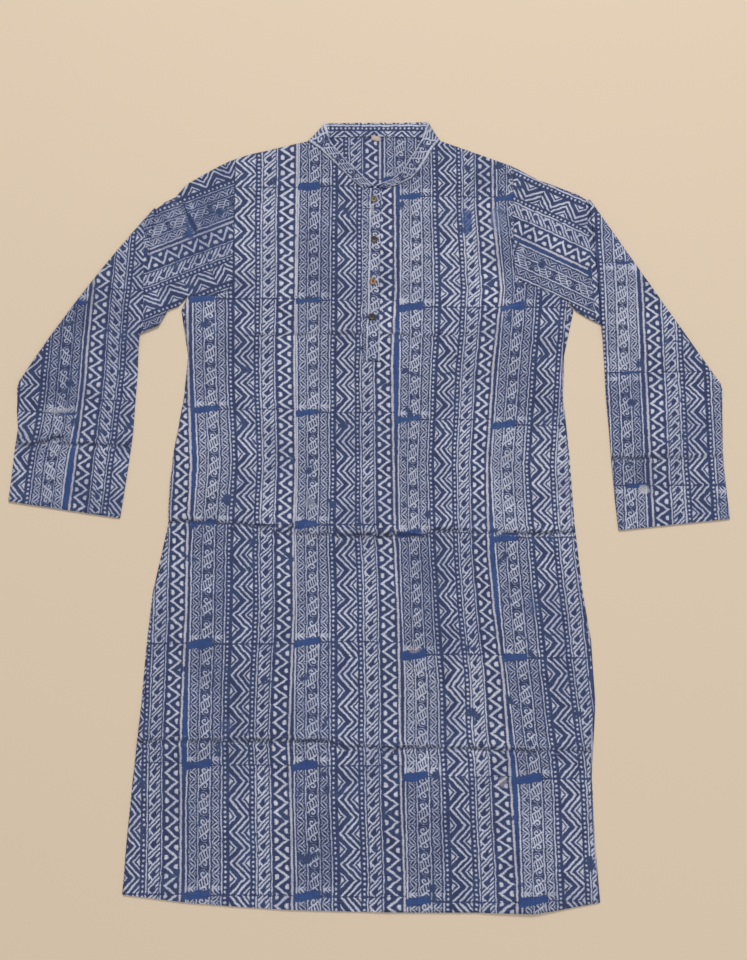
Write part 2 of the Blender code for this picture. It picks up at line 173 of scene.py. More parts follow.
class Wire:
    # a shader value that is added, scaled and compared like a number

    def __init__(self, tree, socket):
        self.tree = tree
        self.socket = socket

    def maths(self, operation, *others):
        node = self.tree.nodes.new("ShaderNodeMath")
        node.operation = operation
        for place, value in enumerate((self,) + others):
            plug(self.tree, value, node.inputs[place])
        return Wire(self.tree, node.outputs["Value"])

    def __add__(self, other):
        return self.maths("ADD", other)

    def __sub__(self, other):
        return self.maths("SUBTRACT", other)

    def __mul__(self, other):
        return self.maths("MULTIPLY", other)

    def __truediv__(self, other):
        return self.maths("DIVIDE", other)

    def __neg__(self):
        return self * -1.0

    def size(self):
        return self.maths("ABSOLUTE")

    def floor(self):
        return self.maths("FLOOR")

    def wrap(self, period):
        return self.maths("WRAP", period, 0.0)

    def bounce(self, reach):
        return self.maths("PINGPONG", reach)

    def swing(self, reach):
        # noise round a half becomes noise round nought
        return (self - 0.5) * reach

    def least(self, *others):
        made = self
        for other in others:
            made = made.maths("MINIMUM", other)
        return made

    def most(self, *others):
        made = self
        for other in others:
            made = made.maths("MAXIMUM", other)
        return made

    def ramp(self, low, high, start=0.0, end=1.0):
        # a soft step from start to end while the value goes from low to high
        node = self.tree.nodes.new("ShaderNodeMapRange")
        node.interpolation_type = "SMOOTHSTEP"
        for place, value in enumerate((self, low, high, start, end)):
            plug(self.tree, value, node.inputs[place])
        return Wire(self.tree, node.outputs["Result"])

    def fade(self, low, high, start=1.0):
        return self.ramp(low, high, start, 0.0)


def lengthOf(across, down):
    return (across * across + down * down).maths("SQRT")


def splitVector(tree, vector):
    node = tree.nodes.new("ShaderNodeSeparateXYZ")
    plug(tree, vector, node.inputs["Vector"])
    return [Wire(tree, socket) for socket in node.outputs]


def joinVector(tree, x, y, z=0.0):
    node = tree.nodes.new("ShaderNodeCombineXYZ")
    for place, value in enumerate((x, y, z)):
        plug(tree, value, node.inputs[place])
    return Wire(tree, node.outputs["Vector"])


def cloud(tree, vector, scale, detail=0.0, dimensions="2D", socket="Fac"):
    # soft noise round a half, in grey from Fac or as three values from Color
    node = tree.nodes.new("ShaderNodeTexNoise")
    node.noise_dimensions = dimensions
    plug(tree, vector, node.inputs["Vector"])
    node.inputs["Scale"].default_value = scale
    node.inputs["Detail"].default_value = detail
    return Wire(tree, node.outputs[socket])


def blend(tree, share, first, second, kind="MIX"):
    node = tree.nodes.new("ShaderNodeMix")
    node.data_type = "RGBA"
    node.blend_type = kind
    plug(tree, share, node.inputs["Factor"])
    plug(tree, first, node.inputs[6])
    plug(tree, second, node.inputs[7])
    return Wire(tree, node.outputs[2])


def objectPlace(tree):
    # where a point lies on the garment
    node = tree.nodes.new("ShaderNodeTexCoord")
    return Wire(tree, node.outputs["Object"])


def attributeVector(tree, name):
    node = tree.nodes.new("ShaderNodeAttribute")
    node.attribute_name = name
    return Wire(tree, node.outputs["Vector"])


def makeGroup(name, inputs, outputs, build):
    # a node group; an input without a value is a vector. build turns input wires into output wires
    tree = bpy.data.node_groups.new(name, "ShaderNodeTree")
    for label, value in inputs.items():
        kind = "NodeSocketVector" if value is None else "NodeSocketFloat"
        socket = tree.interface.new_socket(label, in_out="INPUT", socket_type=kind)
        if value is not None:
            socket.default_value = value
    for label in outputs:
        tree.interface.new_socket(label, in_out="OUTPUT", socket_type="NodeSocketFloat")
    entry = tree.nodes.new("NodeGroupInput")
    leave = tree.nodes.new("NodeGroupOutput")
    given = {label: Wire(tree, entry.outputs[label]) for label in inputs}
    for label, wire in build(tree, given).items():
        tree.links.new(wire.socket, leave.inputs[label])
    return tree


def useGroup(tree, group, **values):
    # socket names are the keyword names with a capital: across -> Across
    node = tree.nodes.new("ShaderNodeGroup")
    node.node_tree = group
    for label, value in values.items():
        plug(tree, value, node.inputs[label.capitalize()])
    return {socket.name: Wire(tree, socket) for socket in node.outputs}


# One printed block, in millimetres. Across runs over the bands, down along them. Each band gives
# the distance to its nearest undyed shape, so below zero is undyed cloth.
printBlock = {
    "width": 152.0,
    "height": 172.7,
    "startMargin": 4.0,
    # place and width of each line
    "lines": ((0.0, 2.6), (15.5, 1.8), (32.2, 2.0), (48.6, 2.1), (96.4, 2.2), (117.2, 1.9),
              (145.0, 3.6)),
    # where the middle of each band lies
    "bands": {
        "leaf": (7.9, 40.4),
        "scroll": (23.9,),
        "dots": (53.4, 91.7),
        "chevron": (73.2,),
        "hatch": (106.8,),
        "zigzag": (131.2,),
    },
}
firstLine, widestLine = printBlock["lines"][0], printBlock["lines"][-1]
diagonal = math.sqrt(0.5)


def oval(across, down, long, short):
    return (lengthOf(across / long, down / short) - 1.0) * short


leaf = {
    "cell": printBlock["height"] / 18,
    "halfWidth": 6.3,
    "long": 6.6,
    "short": 3.4,
    "slitLong": 4.3,
    "slitShort": 1.25,
    "sprigOut": 5.4,
    "sprigHalfWidth": 0.75,
    "sprigReach": 1.9,
    "slim": 0.1,
}


def buildLeaf(across, down):
    # slit leaves that lean left and right by turns
    row = (down / leaf["cell"]).floor()
    local = (down / leaf["cell"] - row - 0.5) * leaf["cell"]
    side = row.wrap(2.0) * 2.0 - 1.0
    along = (across * side + local) * diagonal
    over = (across * side - local) * diagonal
    petal = oval(along, over, leaf["long"], leaf["short"])
    slit = oval(along, over, leaf["slitLong"], leaf["slitShort"])
    sprig = (over.size() - leaf["sprigOut"]).size() - leaf["sprigHalfWidth"]
    sprig = sprig.most(along.size() - leaf["sprigReach"])
    shape = petal.most(-slit).least(sprig) + leaf["slim"]
    return shape.most(across.size() - leaf["halfWidth"])


scroll = {
    "period": printBlock["height"] / 5,
    "halfWidth": 7.1,
    "stroke": 2.35,
    "ringGap": 13.4,
    "ringOut": 0.8,
    "curlRadius": 5.8,
    "coil": 4.5,
    "coilStart": 0.42,
    "ladderLean": 0.75,
    "railOut": 6.3,
    "railSteep": 0.8,
    "rungs": 3.9,
    "rungStart": 20.0,
    "rungLean": 0.25,
    "rungHalfWidth": 1.0,
    "rungReach": 5.4,
}


def buildScroll(across, down):
    # pairs of curls with a slanted ladder between them
    half = scroll["period"] / 2
    stroke = scroll["stroke"] / 2
    fromPair = (down + half).wrap(scroll["period"]) - half
    side = fromPair.maths("SIGN")
    curlAcross = (across + side * scroll["ringOut"]) * side
    curlDown = fromPair.size() - scroll["ringGap"] / 2
    ring = lengthOf(curlAcross, curlDown)
    turn = curlAcross.maths("ARCTAN2", curlDown) / (2 * math.pi)
    coil = scroll["coil"]
    curl = ((ring - turn * coil - coil * scroll["coilStart"]).wrap(coil) - coil / 2).size() - stroke
    curl = curl.most(ring - scroll["curlRadius"])
    mid = down.wrap(scroll["period"]) - half
    slant = mid + across * scroll["ladderLean"]
    rails = (slant.size() - scroll["railOut"]).size() * scroll["railSteep"] - stroke
    rungs = (across - mid * scroll["rungLean"] + scroll["rungStart"]).wrap(scroll["rungs"])
    rungs = (rungs - scroll["rungs"] / 2).size() - scroll["rungHalfWidth"]
    ladder = rails.least(rungs.most(slant.size() * scroll["railSteep"] - scroll["rungReach"]))
    return curl.least(ladder).most(across.size() - scroll["halfWidth"])


dots = {"period": printBlock["height"] / 26, "radius": 1.8}


def buildDots(across, down):
    local = down.wrap(dots["period"]) - dots["period"] / 2
    return lengthOf(across, local) - dots["radius"]


chevron = {
    "period": printBlock["height"] / 4,
    "reach": 9.9,
    "halfWidth": 14.0,
    "stroke": 3.1,
    "shift": 3.0,
    "second": 8.6,
    "nested": (11.4, 17.2),
    "nestedThin": 0.75,
    "heart": (15.6, 21.4),
    "uneven": 2.0,
}


def zigzagWave(band, along):
    # across place of a zigzag line, and what turns an across distance into the true one
    half = band["period"] / 2
    slope = 2 * band["reach"] / half
    return along.bounce(half) * slope - band["reach"], 1 / math.sqrt(1 + slope ** 2)


def buildChevron(across, down):
    # two bold zigzag lines, with smaller ones and a solid heart nested in each hollow
    lean = (down * (2 * math.pi / printBlock["height"])).maths("COSINE") - 1.0
    wave, steep = zigzagWave(chevron, down + lean * chevron["uneven"])
    gap = across - wave + chevron["shift"]
    stroke = chevron["stroke"] / 2
    bold = (gap.size() * steep).least((gap - chevron["second"]).size() * steep) - stroke
    before, after = chevron["nested"]
    nested = ((gap + before).size() * steep).least((gap - after).size() * steep)
    nested = nested - stroke * chevron["nestedThin"]
    start, end = chevron["heart"]
    hearts = ((gap + start) * steep).least((-gap + end) * steep)
    return bold.least(nested, hearts).most(across.size() - chevron["halfWidth"])


zigzag = {
    "period": printBlock["height"] / 7,
    "reach": 8.0,
    "halfWidth": 9.4,
    "stroke": 3.5,
    "firstPeak": 13.6,
    "rightDot": 7.5,
    "leftDot": -7.3,
    "dotRadius": 3.8,
}


def buildZigzag(across, down):
    period, half = zigzag["period"], zigzag["period"] / 2
    fromPeak = down - zigzag["firstPeak"]
    wave, steep = zigzagWave(zigzag, fromPeak)
    line = (across - wave).size() * steep - zigzag["stroke"] / 2
    rightDot = lengthOf(across - zigzag["rightDot"], (fromPeak + half).wrap(period) - half)
    leftDot = lengthOf(across - zigzag["leftDot"], fromPeak.wrap(period) - half)
    drops = (rightDot.least(leftDot) - zigzag["dotRadius"]).most(across.size() - zigzag["halfWidth"])
    return line.least(drops)


hatch = {
    "period": printBlock["height"] / 9,
    "halfWidth": 8.1,
    "stroke": 2.7,
    "start": 0.6,
    "second": 5.8,
    "stem": 12.8,
    "stemFrom": 2.6,
    "armShift": 1.6,
    "armUntil": 0.5,
    "stubOut": 6.3,
    "stubPast": 1.0,
}


def buildHatch(across, down):
    # pairs of slanted strokes, with a fork at the left of each gap and a short stem at its right
    stroke, period = hatch["stroke"] / 2, hatch["period"]
    run = (down + across + hatch["start"]).wrap(period)
    pair = run.least(-run + period, (run - hatch["second"]).size()) * diagonal - stroke
    inGap = -run + hatch["second"]
    stem = ((run - hatch["stem"]).size() * diagonal - stroke).most(-across + hatch["stemFrom"])
    arm = (down - across - hatch["armShift"] + period / 2).wrap(period) - period / 2
    arm = arm.size() * diagonal - stroke
    stub = ((across + hatch["stubOut"]).size() - stroke).most(run - hatch["stem"] - hatch["stubPast"])
    fork = arm.most(across - hatch["armUntil"]).least(stub).most(inGap)
    return pair.least(fork, stem).most(across.size() - hatch["halfWidth"])


def makeBand(name, build):
    def distance(tree, given):
        return {"Distance": build(given["Across"], given["Down"])}

    return makeGroup(name, {"Across": 0.0, "Down": 0.0}, ("Distance",), distance)


bands = {
    "leaf": makeBand("leafBand", buildLeaf),
    "scroll": makeBand("scrollBand", buildScroll),
    "dots": makeBand("dotRow", buildDots),
    "chevron": makeBand("chevronBand", buildChevron),
    "zigzag": makeBand("zigzagBand", buildZigzag),
    "hatch": makeBand("hatchBand", buildHatch),
}


# How the print strays from the block. Lengths are in millimetres, scales count waves in a metre, and
# a pair is where an effect starts and ends.
stray = {
    "driftScale": 11.0,
    "drift": 2.0,
    "shakeScale": 120.0,
    "shake": 1.8,
    "gutterShake": 1.4,
    "slip": 0.8,
    "edgeScale": 420.0,
    "edge": 1.5,
    "pressure": 0.35,
    "patchScale": 34.0,
    "farGutter": 30.0,
    "blots": ((6.0, 3.0, 9.0), (42.0, 4.0, 10.0)),      # middle, start and end of the fade
    "blotRise": 9.0,
    "blotHeight": (1.5, 5.5),
    "blotSize": 0.9,
    "blotElsewhere": 0.15,
    "barMiddle": 14.0,
    "barHalfWidth": 19.0,
    "barLean": 0.14,
    "barDown": 1.6,
    "barHalfHeight": 5.2,
    "barRagged": 11.0,
    "barDye": (-1.4, 0.2),
    "jointFade": (0.2, 1.9, 1.7),
    "jointCreep": 1.4,
    "poorPatch": (0.68, 0.80, 0.0, 1.6),
    "stripeStart": (1.6, 2.6),
    "stripeEnd": (-2.4, -1.4),
    "stripeGutter": (8.0, 10.0),
    "rosyEdge": (-0.6, 0.4),
    "undyedEdge": (-1.1, 0.55),
    "bareEdge": (-2.7, -1.1),
    "deepStart": (-0.5, 0.3),
    "deepEnd": (3.0, 7.0),
}
metre = 1000.0               # in millimetres


def buildBlockPrint(tree, given):
    flat = given["Cloth"]
    drift = cloud(tree, flat, stray["driftScale"], socket="Color")
    shake = cloud(tree, flat, stray["shakeScale"], socket="Color")
    roughEdge = cloud(tree, flat, stray["edgeScale"], detail=1.0)
    patch = cloud(tree, flat, stray["patchScale"], detail=2.0)
    across, down, _ = splitVector(tree, flat)
    driftAcross, driftDown, _ = splitVector(tree, drift)
    shakeAcross, shakeDown, _ = splitVector(tree, shake)
    toWidest, toFirst, near = splitVector(tree, given["Gutter"])
    sway = shakeAcross.swing(stray["gutterShake"])
    toWidest, toFirst = toWidest + sway, toFirst + sway
    across = across * metre + driftAcross.swing(stray["drift"]) + shakeAcross.swing(stray["shake"])
    down = down * metre + driftDown.swing(stray["drift"]) + shakeDown.swing(stray["shake"])
    width, height = printBlock["width"], printBlock["height"]
    column = ((across + printBlock["startMargin"]) / width).floor()
    row = (down / height).floor()
    dice = tree.nodes.new("ShaderNodeTexWhiteNoise")
    dice.noise_dimensions = "2D"
    plug(tree, joinVector(tree, column, row + given["Seed"]), dice.inputs["Vector"])
    slipAcross, slipDown, pressure = splitVector(tree, Wire(tree, dice.outputs["Color"]))
    across = across - column * width - slipAcross.swing(stray["slip"])
    down = down - row * height - slipDown.swing(stray["slip"])

    # gutter gives the true distances to the two lines between columns, near where it counts
    found = []
    for line in printBlock["lines"]:
        away = (across - line[0]).size() - line[1] / 2 - given["Thicken"]
        found.append(away + near * stray["farGutter"] if line in (firstLine, widestLine) else away)
    gutter = (toWidest.size() - widestLine[1] / 2).least(toFirst.size() - firstLine[1] / 2)
    found.append(gutter + (near * -stray["farGutter"] + stray["farGutter"]))
    for band, middles in printBlock["bands"].items():
        for middle in middles:
            printed = useGroup(tree, bands[band], across=across - middle, down=down)
            found.append(printed["Distance"])
    distance = found[0].least(*found[1:])

    # blots at the foot of a block, and the bare bar at the head of the next one
    fromJoint = (down + height / 2).wrap(height) - height / 2
    nearFoot = (fromJoint + stray["blotRise"]).size().fade(*stray["blotHeight"])
    blots = [(across - middle).size().fade(start, end) for middle, start, end in stray["blots"]]
    blots = blots[0].most(*blots[1:]) + stray["blotElsewhere"]
    distance = distance - nearFoot * blots * roughEdge * stray["blotSize"]
    slant = fromJoint + across * stray["barLean"]
    bar = (across - stray["barMiddle"]).size() - stray["barHalfWidth"]
    bar = bar.most((slant - stray["barDown"]).size() - stray["barHalfHeight"])
    bar = bar + patch.swing(stray["barRagged"]) + given["Shrink"]
    distance = distance.most(-bar)
    solid = bar.ramp(*stray["barDye"])

    # the dye creeps in between two blocks, and where the resist took badly
    distance = distance + fromJoint.size().fade(*stray["jointFade"]) * roughEdge * stray["jointCreep"]
    crept = patch.ramp(*stray["poorPatch"])
    distance = distance + crept + roughEdge.swing(stray["edge"]) + pressure.swing(stray["pressure"])
    stripe = toWidest.ramp(*stray["stripeStart"]) * toFirst.fade(*stray["stripeEnd"]) * near
    solid = solid.least(-(stripe * (toWidest - toFirst).ramp(*stray["stripeGutter"])) + 1.0)
    rosy = (toWidest.size() - widestLine[1] / 2).fade(*stray["rosyEdge"]) * near
    return {
        "Undyed": distance.fade(*stray["undyedEdge"]),
        "Deep": distance.ramp(*stray["deepStart"]) * distance.fade(*stray["deepEnd"]) * solid,
        "Bare": distance.fade(*stray["bareEdge"]),
        "Widest": rosy,
        "Patch": patch,
    }


blockPrint = makeGroup(
    "blockPrint",
    {"Cloth": None, "Gutter": None, "Seed": 0.0, "Thicken": 0.0, "Shrink": 0.0},
    ("Undyed", "Deep", "Bare", "Widest", "Patch"),
    buildBlockPrint,
)

yarn = {"slubLong": 45.0, "slubFine": 900.0, "overUnder": 0.25}


def buildWeave(tree, given):
    # plain weave with a thicker thread here and there
    across, down, _ = splitVector(tree, given["Cloth"])
    turns = given["Threads"] * (2 * metre * math.pi)
    over = (across * turns).maths("SINE") * (down * turns).maths("SINE")
    long, fine = yarn["slubLong"], yarn["slubFine"]
    warp = cloud(tree, joinVector(tree, across * fine, down * long), scale=1.0)
    weft = cloud(tree, joinVector(tree, across * long, down * fine), scale=1.0)
    slub = warp + weft - 1.0
    return {"Height": over * yarn["overUnder"] + slub * given["Slubs"], "Slub": slub}


weaveInputs = {"Cloth": None, "Threads": 1.0, "Slubs": 1.0}
weave = makeGroup("cottonWeave", weaveInputs, ("Height", "Slub"), buildWeave)

# Painted shade in pressed creases, and lighter flecks beside them that are rubbed wear with a painted highlight.
creaseShadeAndWear = {
    "speckScale": 260.0,
    "ragged": 1.6,
    "dark": 0.3,
    "darkSpecks": (0.2, 0.7),
    "rubbed": (0.3, 2.0),
    "rubbedSpecks": (0.55, 0.7),
}


def buildFoldShade(tree, given):
    # gap is the distance to a pressed crease in millimetres, press how sharp it is there. The first output is painted
    # shade along the crease's trough; the second is lighter flecks beside it, rubbed wear together with a painted
    # highlight where the ridges catch the light.
    gap, press, _ = splitVector(tree, given["Fold"])
    speck = cloud(tree, given["Cloth"], creaseShadeAndWear["speckScale"], detail=1.0)
    away = (gap + speck.swing(creaseShadeAndWear["ragged"])).size()
    # painted shade: darkest in the middle of the crease, fading out at the reach
    dark = away.fade(creaseShadeAndWear["dark"], given["Reach"]) * press
    # rubbed wear and painted highlight: a lighter band just past the reach, on the ridges beside the crease
    rubbed = (away - given["Reach"]).size().fade(*creaseShadeAndWear["rubbed"]) * press
    return {
        "Dark": dark * (speck.ramp(*creaseShadeAndWear["darkSpecks"]) * 0.5 + 0.5),
        "Rubbed": rubbed * speck.ramp(*creaseShadeAndWear["rubbedSpecks"]),
    }


foldInputs = {"Fold": None, "Cloth": None, "Reach": 3.0}
foldShade = makeGroup("foldShade", foldInputs, ("Dark", "Rubbed"), buildFoldShade)
print("stage: print and weave groups built")


def newMaterial(name):
    made = bpy.data.materials.new(name)
    made.use_nodes = True
    return made, made.node_tree, made.node_tree.nodes["Principled BSDF"]


def coat(tree, shader, colour, roughness, height, strength, depth):
    # colour, roughness and a bump go to the material's shader
    plug(tree, colour, shader.inputs["Base Color"])
    plug(tree, roughness, shader.inputs["Roughness"])
    bump = tree.nodes.new("ShaderNodeBump")
    bump.inputs["Strength"].default_value = strength
    bump.inputs["Distance"].default_value = depth
    plug(tree, height, bump.inputs["Height"])
    plug(tree, Wire(tree, bump.outputs["Normal"]), shader.inputs["Normal"])


indigo = {
    "dye": (0.031, 0.066, 0.205, 1.0),
    "deepDye": (0.033, 0.042, 0.103, 1.0),
    "deepShare": 0.85,
    "worn": (0.085, 0.150, 0.29, 1.0),
    "wornPatch": (0.35, 0.75, 0.0, 0.16),
    "undyed": (0.53, 0.55, 0.655, 1.0),
    "bareCotton": (0.70, 0.655, 0.63, 1.0),
    "bareShare": 0.75,
    "rosy": (0.49, 0.46, 0.52, 1.0),
    "rosyShare": 0.7,
    "faintScale": 17.0,
    "faint": (0.25, 0.62),
    "faintest": 0.74,
    "fullest": 0.97,
    "shadow": (0.016, 0.020, 0.046, 1.0),
    # how wide the painted crease shade is, how far the print jumps, and how strong the painted shade and the rubbed,
    # lit flecks are
    "creaseReach": 5.2,
    "creaseJump": 1.4,
    "creaseDark": 0.85,
    "creaseRubbed": 0.5,
    "soilScale": 9.0,
    "soil": 0.35,
    "slubTone": 0.5,
    "slubRough": 0.12,
    "roughness": 0.88,
    "threads": 0.9,
    "slubs": 0.7,
    "bump": 0.55,
    "bumpDepth": 0.18 * mm,
    "specular": 0.25,
    "sheen": 0.12,
    "sheenRoughness": 0.45,
}


# Stains and painted shade: x, y, half width, half height in millimetres, strength and colour.
spotsAndShade = {
    "body": (
        (152, 428, 9, 27, 0.85, (0.034, 0.070, 0.205, 1.0)),
        (199, 431, 12, 26, 0.45, (0.16, 0.20, 0.34, 1.0)),
        (66, -223, 9, 6, 0.3, (0.56, 0.50, 0.50, 1.0)),
        (192, -410, 7, 8, 0.28, (0.56, 0.50, 0.50, 1.0)),
        (33, 502, 8, 6, 0.5, (0.66, 0.58, 0.56, 1.0)),
        (-88, -10, 12, 8, 0.5, (0.30, 0.33, 0.42, 1.0)),
        (240, -160, 10, 14, 0.45, (0.060, 0.10, 0.22, 1.0)),
        (-205, -330, 12, 10, 0.45, (0.060, 0.10, 0.22, 1.0)),
    ),
    "sleeve": (
        (-467, 131, 25, 5, 0.42, (0.52, 0.53, 0.58, 1.0)),
        (410, 11, 8, 9, 0.6, (0.50, 0.50, 0.54, 1.0)),
        (-276, 418, 9, 19, 0.85, (0.034, 0.066, 0.190, 1.0)),
        # a broad soft darkening over the upper left sleeve near the shoulder: painted shade, and dye that faded less
        # there
        (-272, 415, 75, 60, 0.22, (0.034, 0.060, 0.170, 1.0)),
    ),
    "trim": (
        (5, 275, 9, 7, 0.85, (0.034, 0.052, 0.125, 1.0)),
        (4, 447, 4, 9, 0.5, (0.56, 0.56, 0.60, 1.0)),
    ),
}

spotEdge = {"scale": 90.0, "ragged": 1.6, "fade": (0.6, 1.15)}


def smudge(tree, colour, spots):
    # soft uneven spots laid over a colour by their place on the garment: stains, and one broad patch of painted shade
    where = objectPlace(tree)
    ragged = cloud(tree, where, spotEdge["scale"], detail=2.0, dimensions="3D")
    x, y, _ = splitVector(tree, where)
    for spotX, spotY, halfWidth, halfHeight, strength, tone in spots:
        away = lengthOf((x - spotX * mm) / (halfWidth * mm), (y - spotY * mm) / (halfHeight * mm))
        mask = (away + ragged.swing(spotEdge["ragged"])).fade(*spotEdge["fade"], strength)
        colour = blend(tree, mask, colour, tone)
    return colour


def printedCotton(name, seed, washed=0.0, spots=(), thicken=0.0, shrink=0.0):
    # washed pales the undyed shapes, thicken widens the lines and shrink narrows the bare bars
    made, tree, shader = newMaterial(name)
    cloth = tree.nodes.new("ShaderNodeUVMap")
    cloth.uv_map = "cloth"
    cloth = Wire(tree, cloth.outputs["UV"])
    gutter = attributeVector(tree, "gutter")
    fold = attributeVector(tree, "fold")

    # a pressed crease swallows a little cloth, so the print jumps there
    gap, press, _ = splitVector(tree, fold)
    jump = gap.maths("SIGN") * press * indigo["creaseJump"]
    across, down, _ = splitVector(tree, cloth)
    cloth = joinVector(tree, across + jump * mm, down + jump * mm)
    toWidest, toFirst, near = splitVector(tree, gutter)
    gutter = joinVector(tree, toWidest + jump, toFirst + jump, near)

    block = useGroup(tree, blockPrint, cloth=cloth, gutter=gutter, seed=seed, thicken=thicken, shrink=shrink)
    thread = useGroup(tree, weave, cloth=cloth, threads=indigo["threads"], slubs=indigo["slubs"])
    dyed = blend(tree, block["Deep"] * indigo["deepShare"], indigo["dye"], indigo["deepDye"])
    dyed = blend(tree, block["Patch"].ramp(*indigo["wornPatch"]), dyed, indigo["worn"])
    bare = blend(tree, block["Bare"] * indigo["bareShare"], indigo["undyed"], indigo["bareCotton"])
    bare = blend(tree, block["Widest"] * indigo["rosyShare"], bare, indigo["rosy"])
    faint = cloud(tree, cloth, indigo["faintScale"], detail=2.0)
    faint = faint.ramp(*indigo["faint"], indigo["faintest"] - washed, indigo["fullest"] - washed)
    printed = smudge(tree, blend(tree, block["Undyed"] * faint, dyed, bare), spots)
    shade = useGroup(tree, foldShade, fold=fold, cloth=cloth, reach=indigo["creaseReach"])
    # painted shade darkens the cloth towards the shadow colour along each pressed crease
    printed = blend(tree, shade["Dark"] * indigo["creaseDark"], printed, indigo["shadow"])
    # lighter flecks beside each crease: rubbed wear with a painted highlight on the ridges
    printed = blend(tree, shade["Rubbed"] * indigo["creaseRubbed"], printed, indigo["undyed"])
    soil = cloud(tree, cloth, indigo["soilScale"], detail=3.0)
    slub = thread["Slub"] * indigo["slubTone"]
    tone = (slub + 1.0) * (soil - 0.5) * indigo["soil"] + slub + 1.0
    toned = blend(tree, 1.0, printed, joinVector(tree, tone, tone, tone), "MULTIPLY")
    roughness = thread["Slub"] * indigo["slubRough"] + indigo["roughness"]
    coat(tree, shader, toned, roughness, thread["Height"], indigo["bump"], indigo["bumpDepth"])
    shader.inputs["Specular IOR Level"].default_value = indigo["specular"]
    shader.inputs["Sheen Weight"].default_value = indigo["sheen"]
    shader.inputs["Sheen Roughness"].default_value = indigo["sheenRoughness"]
    return made


smallDepth = 0.1 * mm        # height of the bumps in wood, thread and satin
wood = {"grain": (900.0, 150.0, 300.0), "streaks": (0.35, 0.65), "mottleScale": 240.0,
        "mottle": (0.5, 0.8, 0.0, 0.6), "roughness": 0.33, "grainRough": 0.2, "bump": 0.3}


def turnedWood(name, dark, pale):
    made, tree, shader = newMaterial(name)
    where = objectPlace(tree)
    stretched = [part * scale for part, scale in zip(splitVector(tree, where), wood["grain"])]
    grain = cloud(tree, joinVector(tree, *stretched), scale=1.0, detail=3.0, dimensions="3D")
    mottle = cloud(tree, where, wood["mottleScale"], detail=2.0, dimensions="3D")
    brown = blend(tree, grain.ramp(*wood["streaks"]), dark, pale)
    brown = blend(tree, mottle.ramp(*wood["mottle"]), brown, dark)
    roughness = grain * wood["grainRough"] + wood["roughness"]
    coat(tree, shader, brown, roughness, grain, wood["bump"], smallDepth)
    return made


threadLook = {"fuzzScale": 2600.0, "fuzz": (0.35, 0.65), "paler": 1.5, "roughness": 0.7,
              "fuzzRough": 0.2, "bump": 0.4}


def plainThread(name, colour):
    made, tree, shader = newMaterial(name)
    fuzz = cloud(tree, objectPlace(tree), threadLook["fuzzScale"], detail=1.0, dimensions="3D")
    paler = tuple(value * threadLook["paler"] for value in colour[:3]) + (1.0,)
    spun = blend(tree, fuzz.ramp(*threadLook["fuzz"]), colour, paler)
    roughness = fuzz * threadLook["fuzzRough"] + threadLook["roughness"]
    coat(tree, shader, spun, roughness, fuzz, threadLook["bump"], smallDepth)
    return made


satin = {
    "pink": (0.44, 0.27, 0.235, 1.0),
    "palePink": (0.50, 0.39, 0.35, 1.0),
    "beige": (0.43, 0.39, 0.32, 1.0),
    "beigeFrom": (9.0 * mm, 12.5 * mm),
    "shade": (0.32, 0.22, 0.20, 1.0),
    "ribs": 9000.0,
    "ribShade": 0.25,
    "stainScale": 300.0,
    "stain": (0.35, 0.7),
    "roughness": 0.5,
    "ribRough": 0.15,
    "bump": 0.3,
}


def labelWeave():
    made, tree, shader = newMaterial("labelSatin")
    where = objectPlace(tree)
    x, y, _ = splitVector(tree, where)
    rib = (y * satin["ribs"]).maths("SINE") * 0.5 + 0.5
    stain = cloud(tree, where, satin["stainScale"], detail=2.0, dimensions="3D")
    base = blend(tree, stain.ramp(*satin["stain"]), satin["pink"], satin["palePink"])
    base = blend(tree, x.ramp(*satin["beigeFrom"]), base, satin["beige"])
    base = blend(tree, rib * satin["ribShade"], base, satin["shade"])
    roughness = rib * satin["ribRough"] + satin["roughness"]
    coat(tree, shader, base, roughness, rib, satin["bump"], smallDepth)
    return made


finishes = {
    "body": printedCotton("printedCotton", seed=3.0, spots=spotsAndShade["body"]),
    "inside": printedCotton("printedCottonInside", seed=11.0, washed=0.08),
    "sleeveLeft": printedCotton("printedCottonLeft", seed=7.0, washed=0.12, spots=spotsAndShade["sleeve"],
                                thicken=-0.3, shrink=3.2),
    "sleeveRight": printedCotton("printedCottonRight", seed=7.0, spots=spotsAndShade["sleeve"],
                                 thicken=0.28, shrink=3.2),
    "trim": printedCotton("printedCottonTrim", seed=5.0, spots=spotsAndShade["trim"], thicken=0.5, shrink=5.5),
    "thread": plainThread("sewingThread", (0.10, 0.14, 0.30, 1.0)),
    "buttonThread": plainThread("buttonThread", (0.05, 0.06, 0.12, 1.0)),
    "label": labelWeave(),
}
print("stage: materials made")


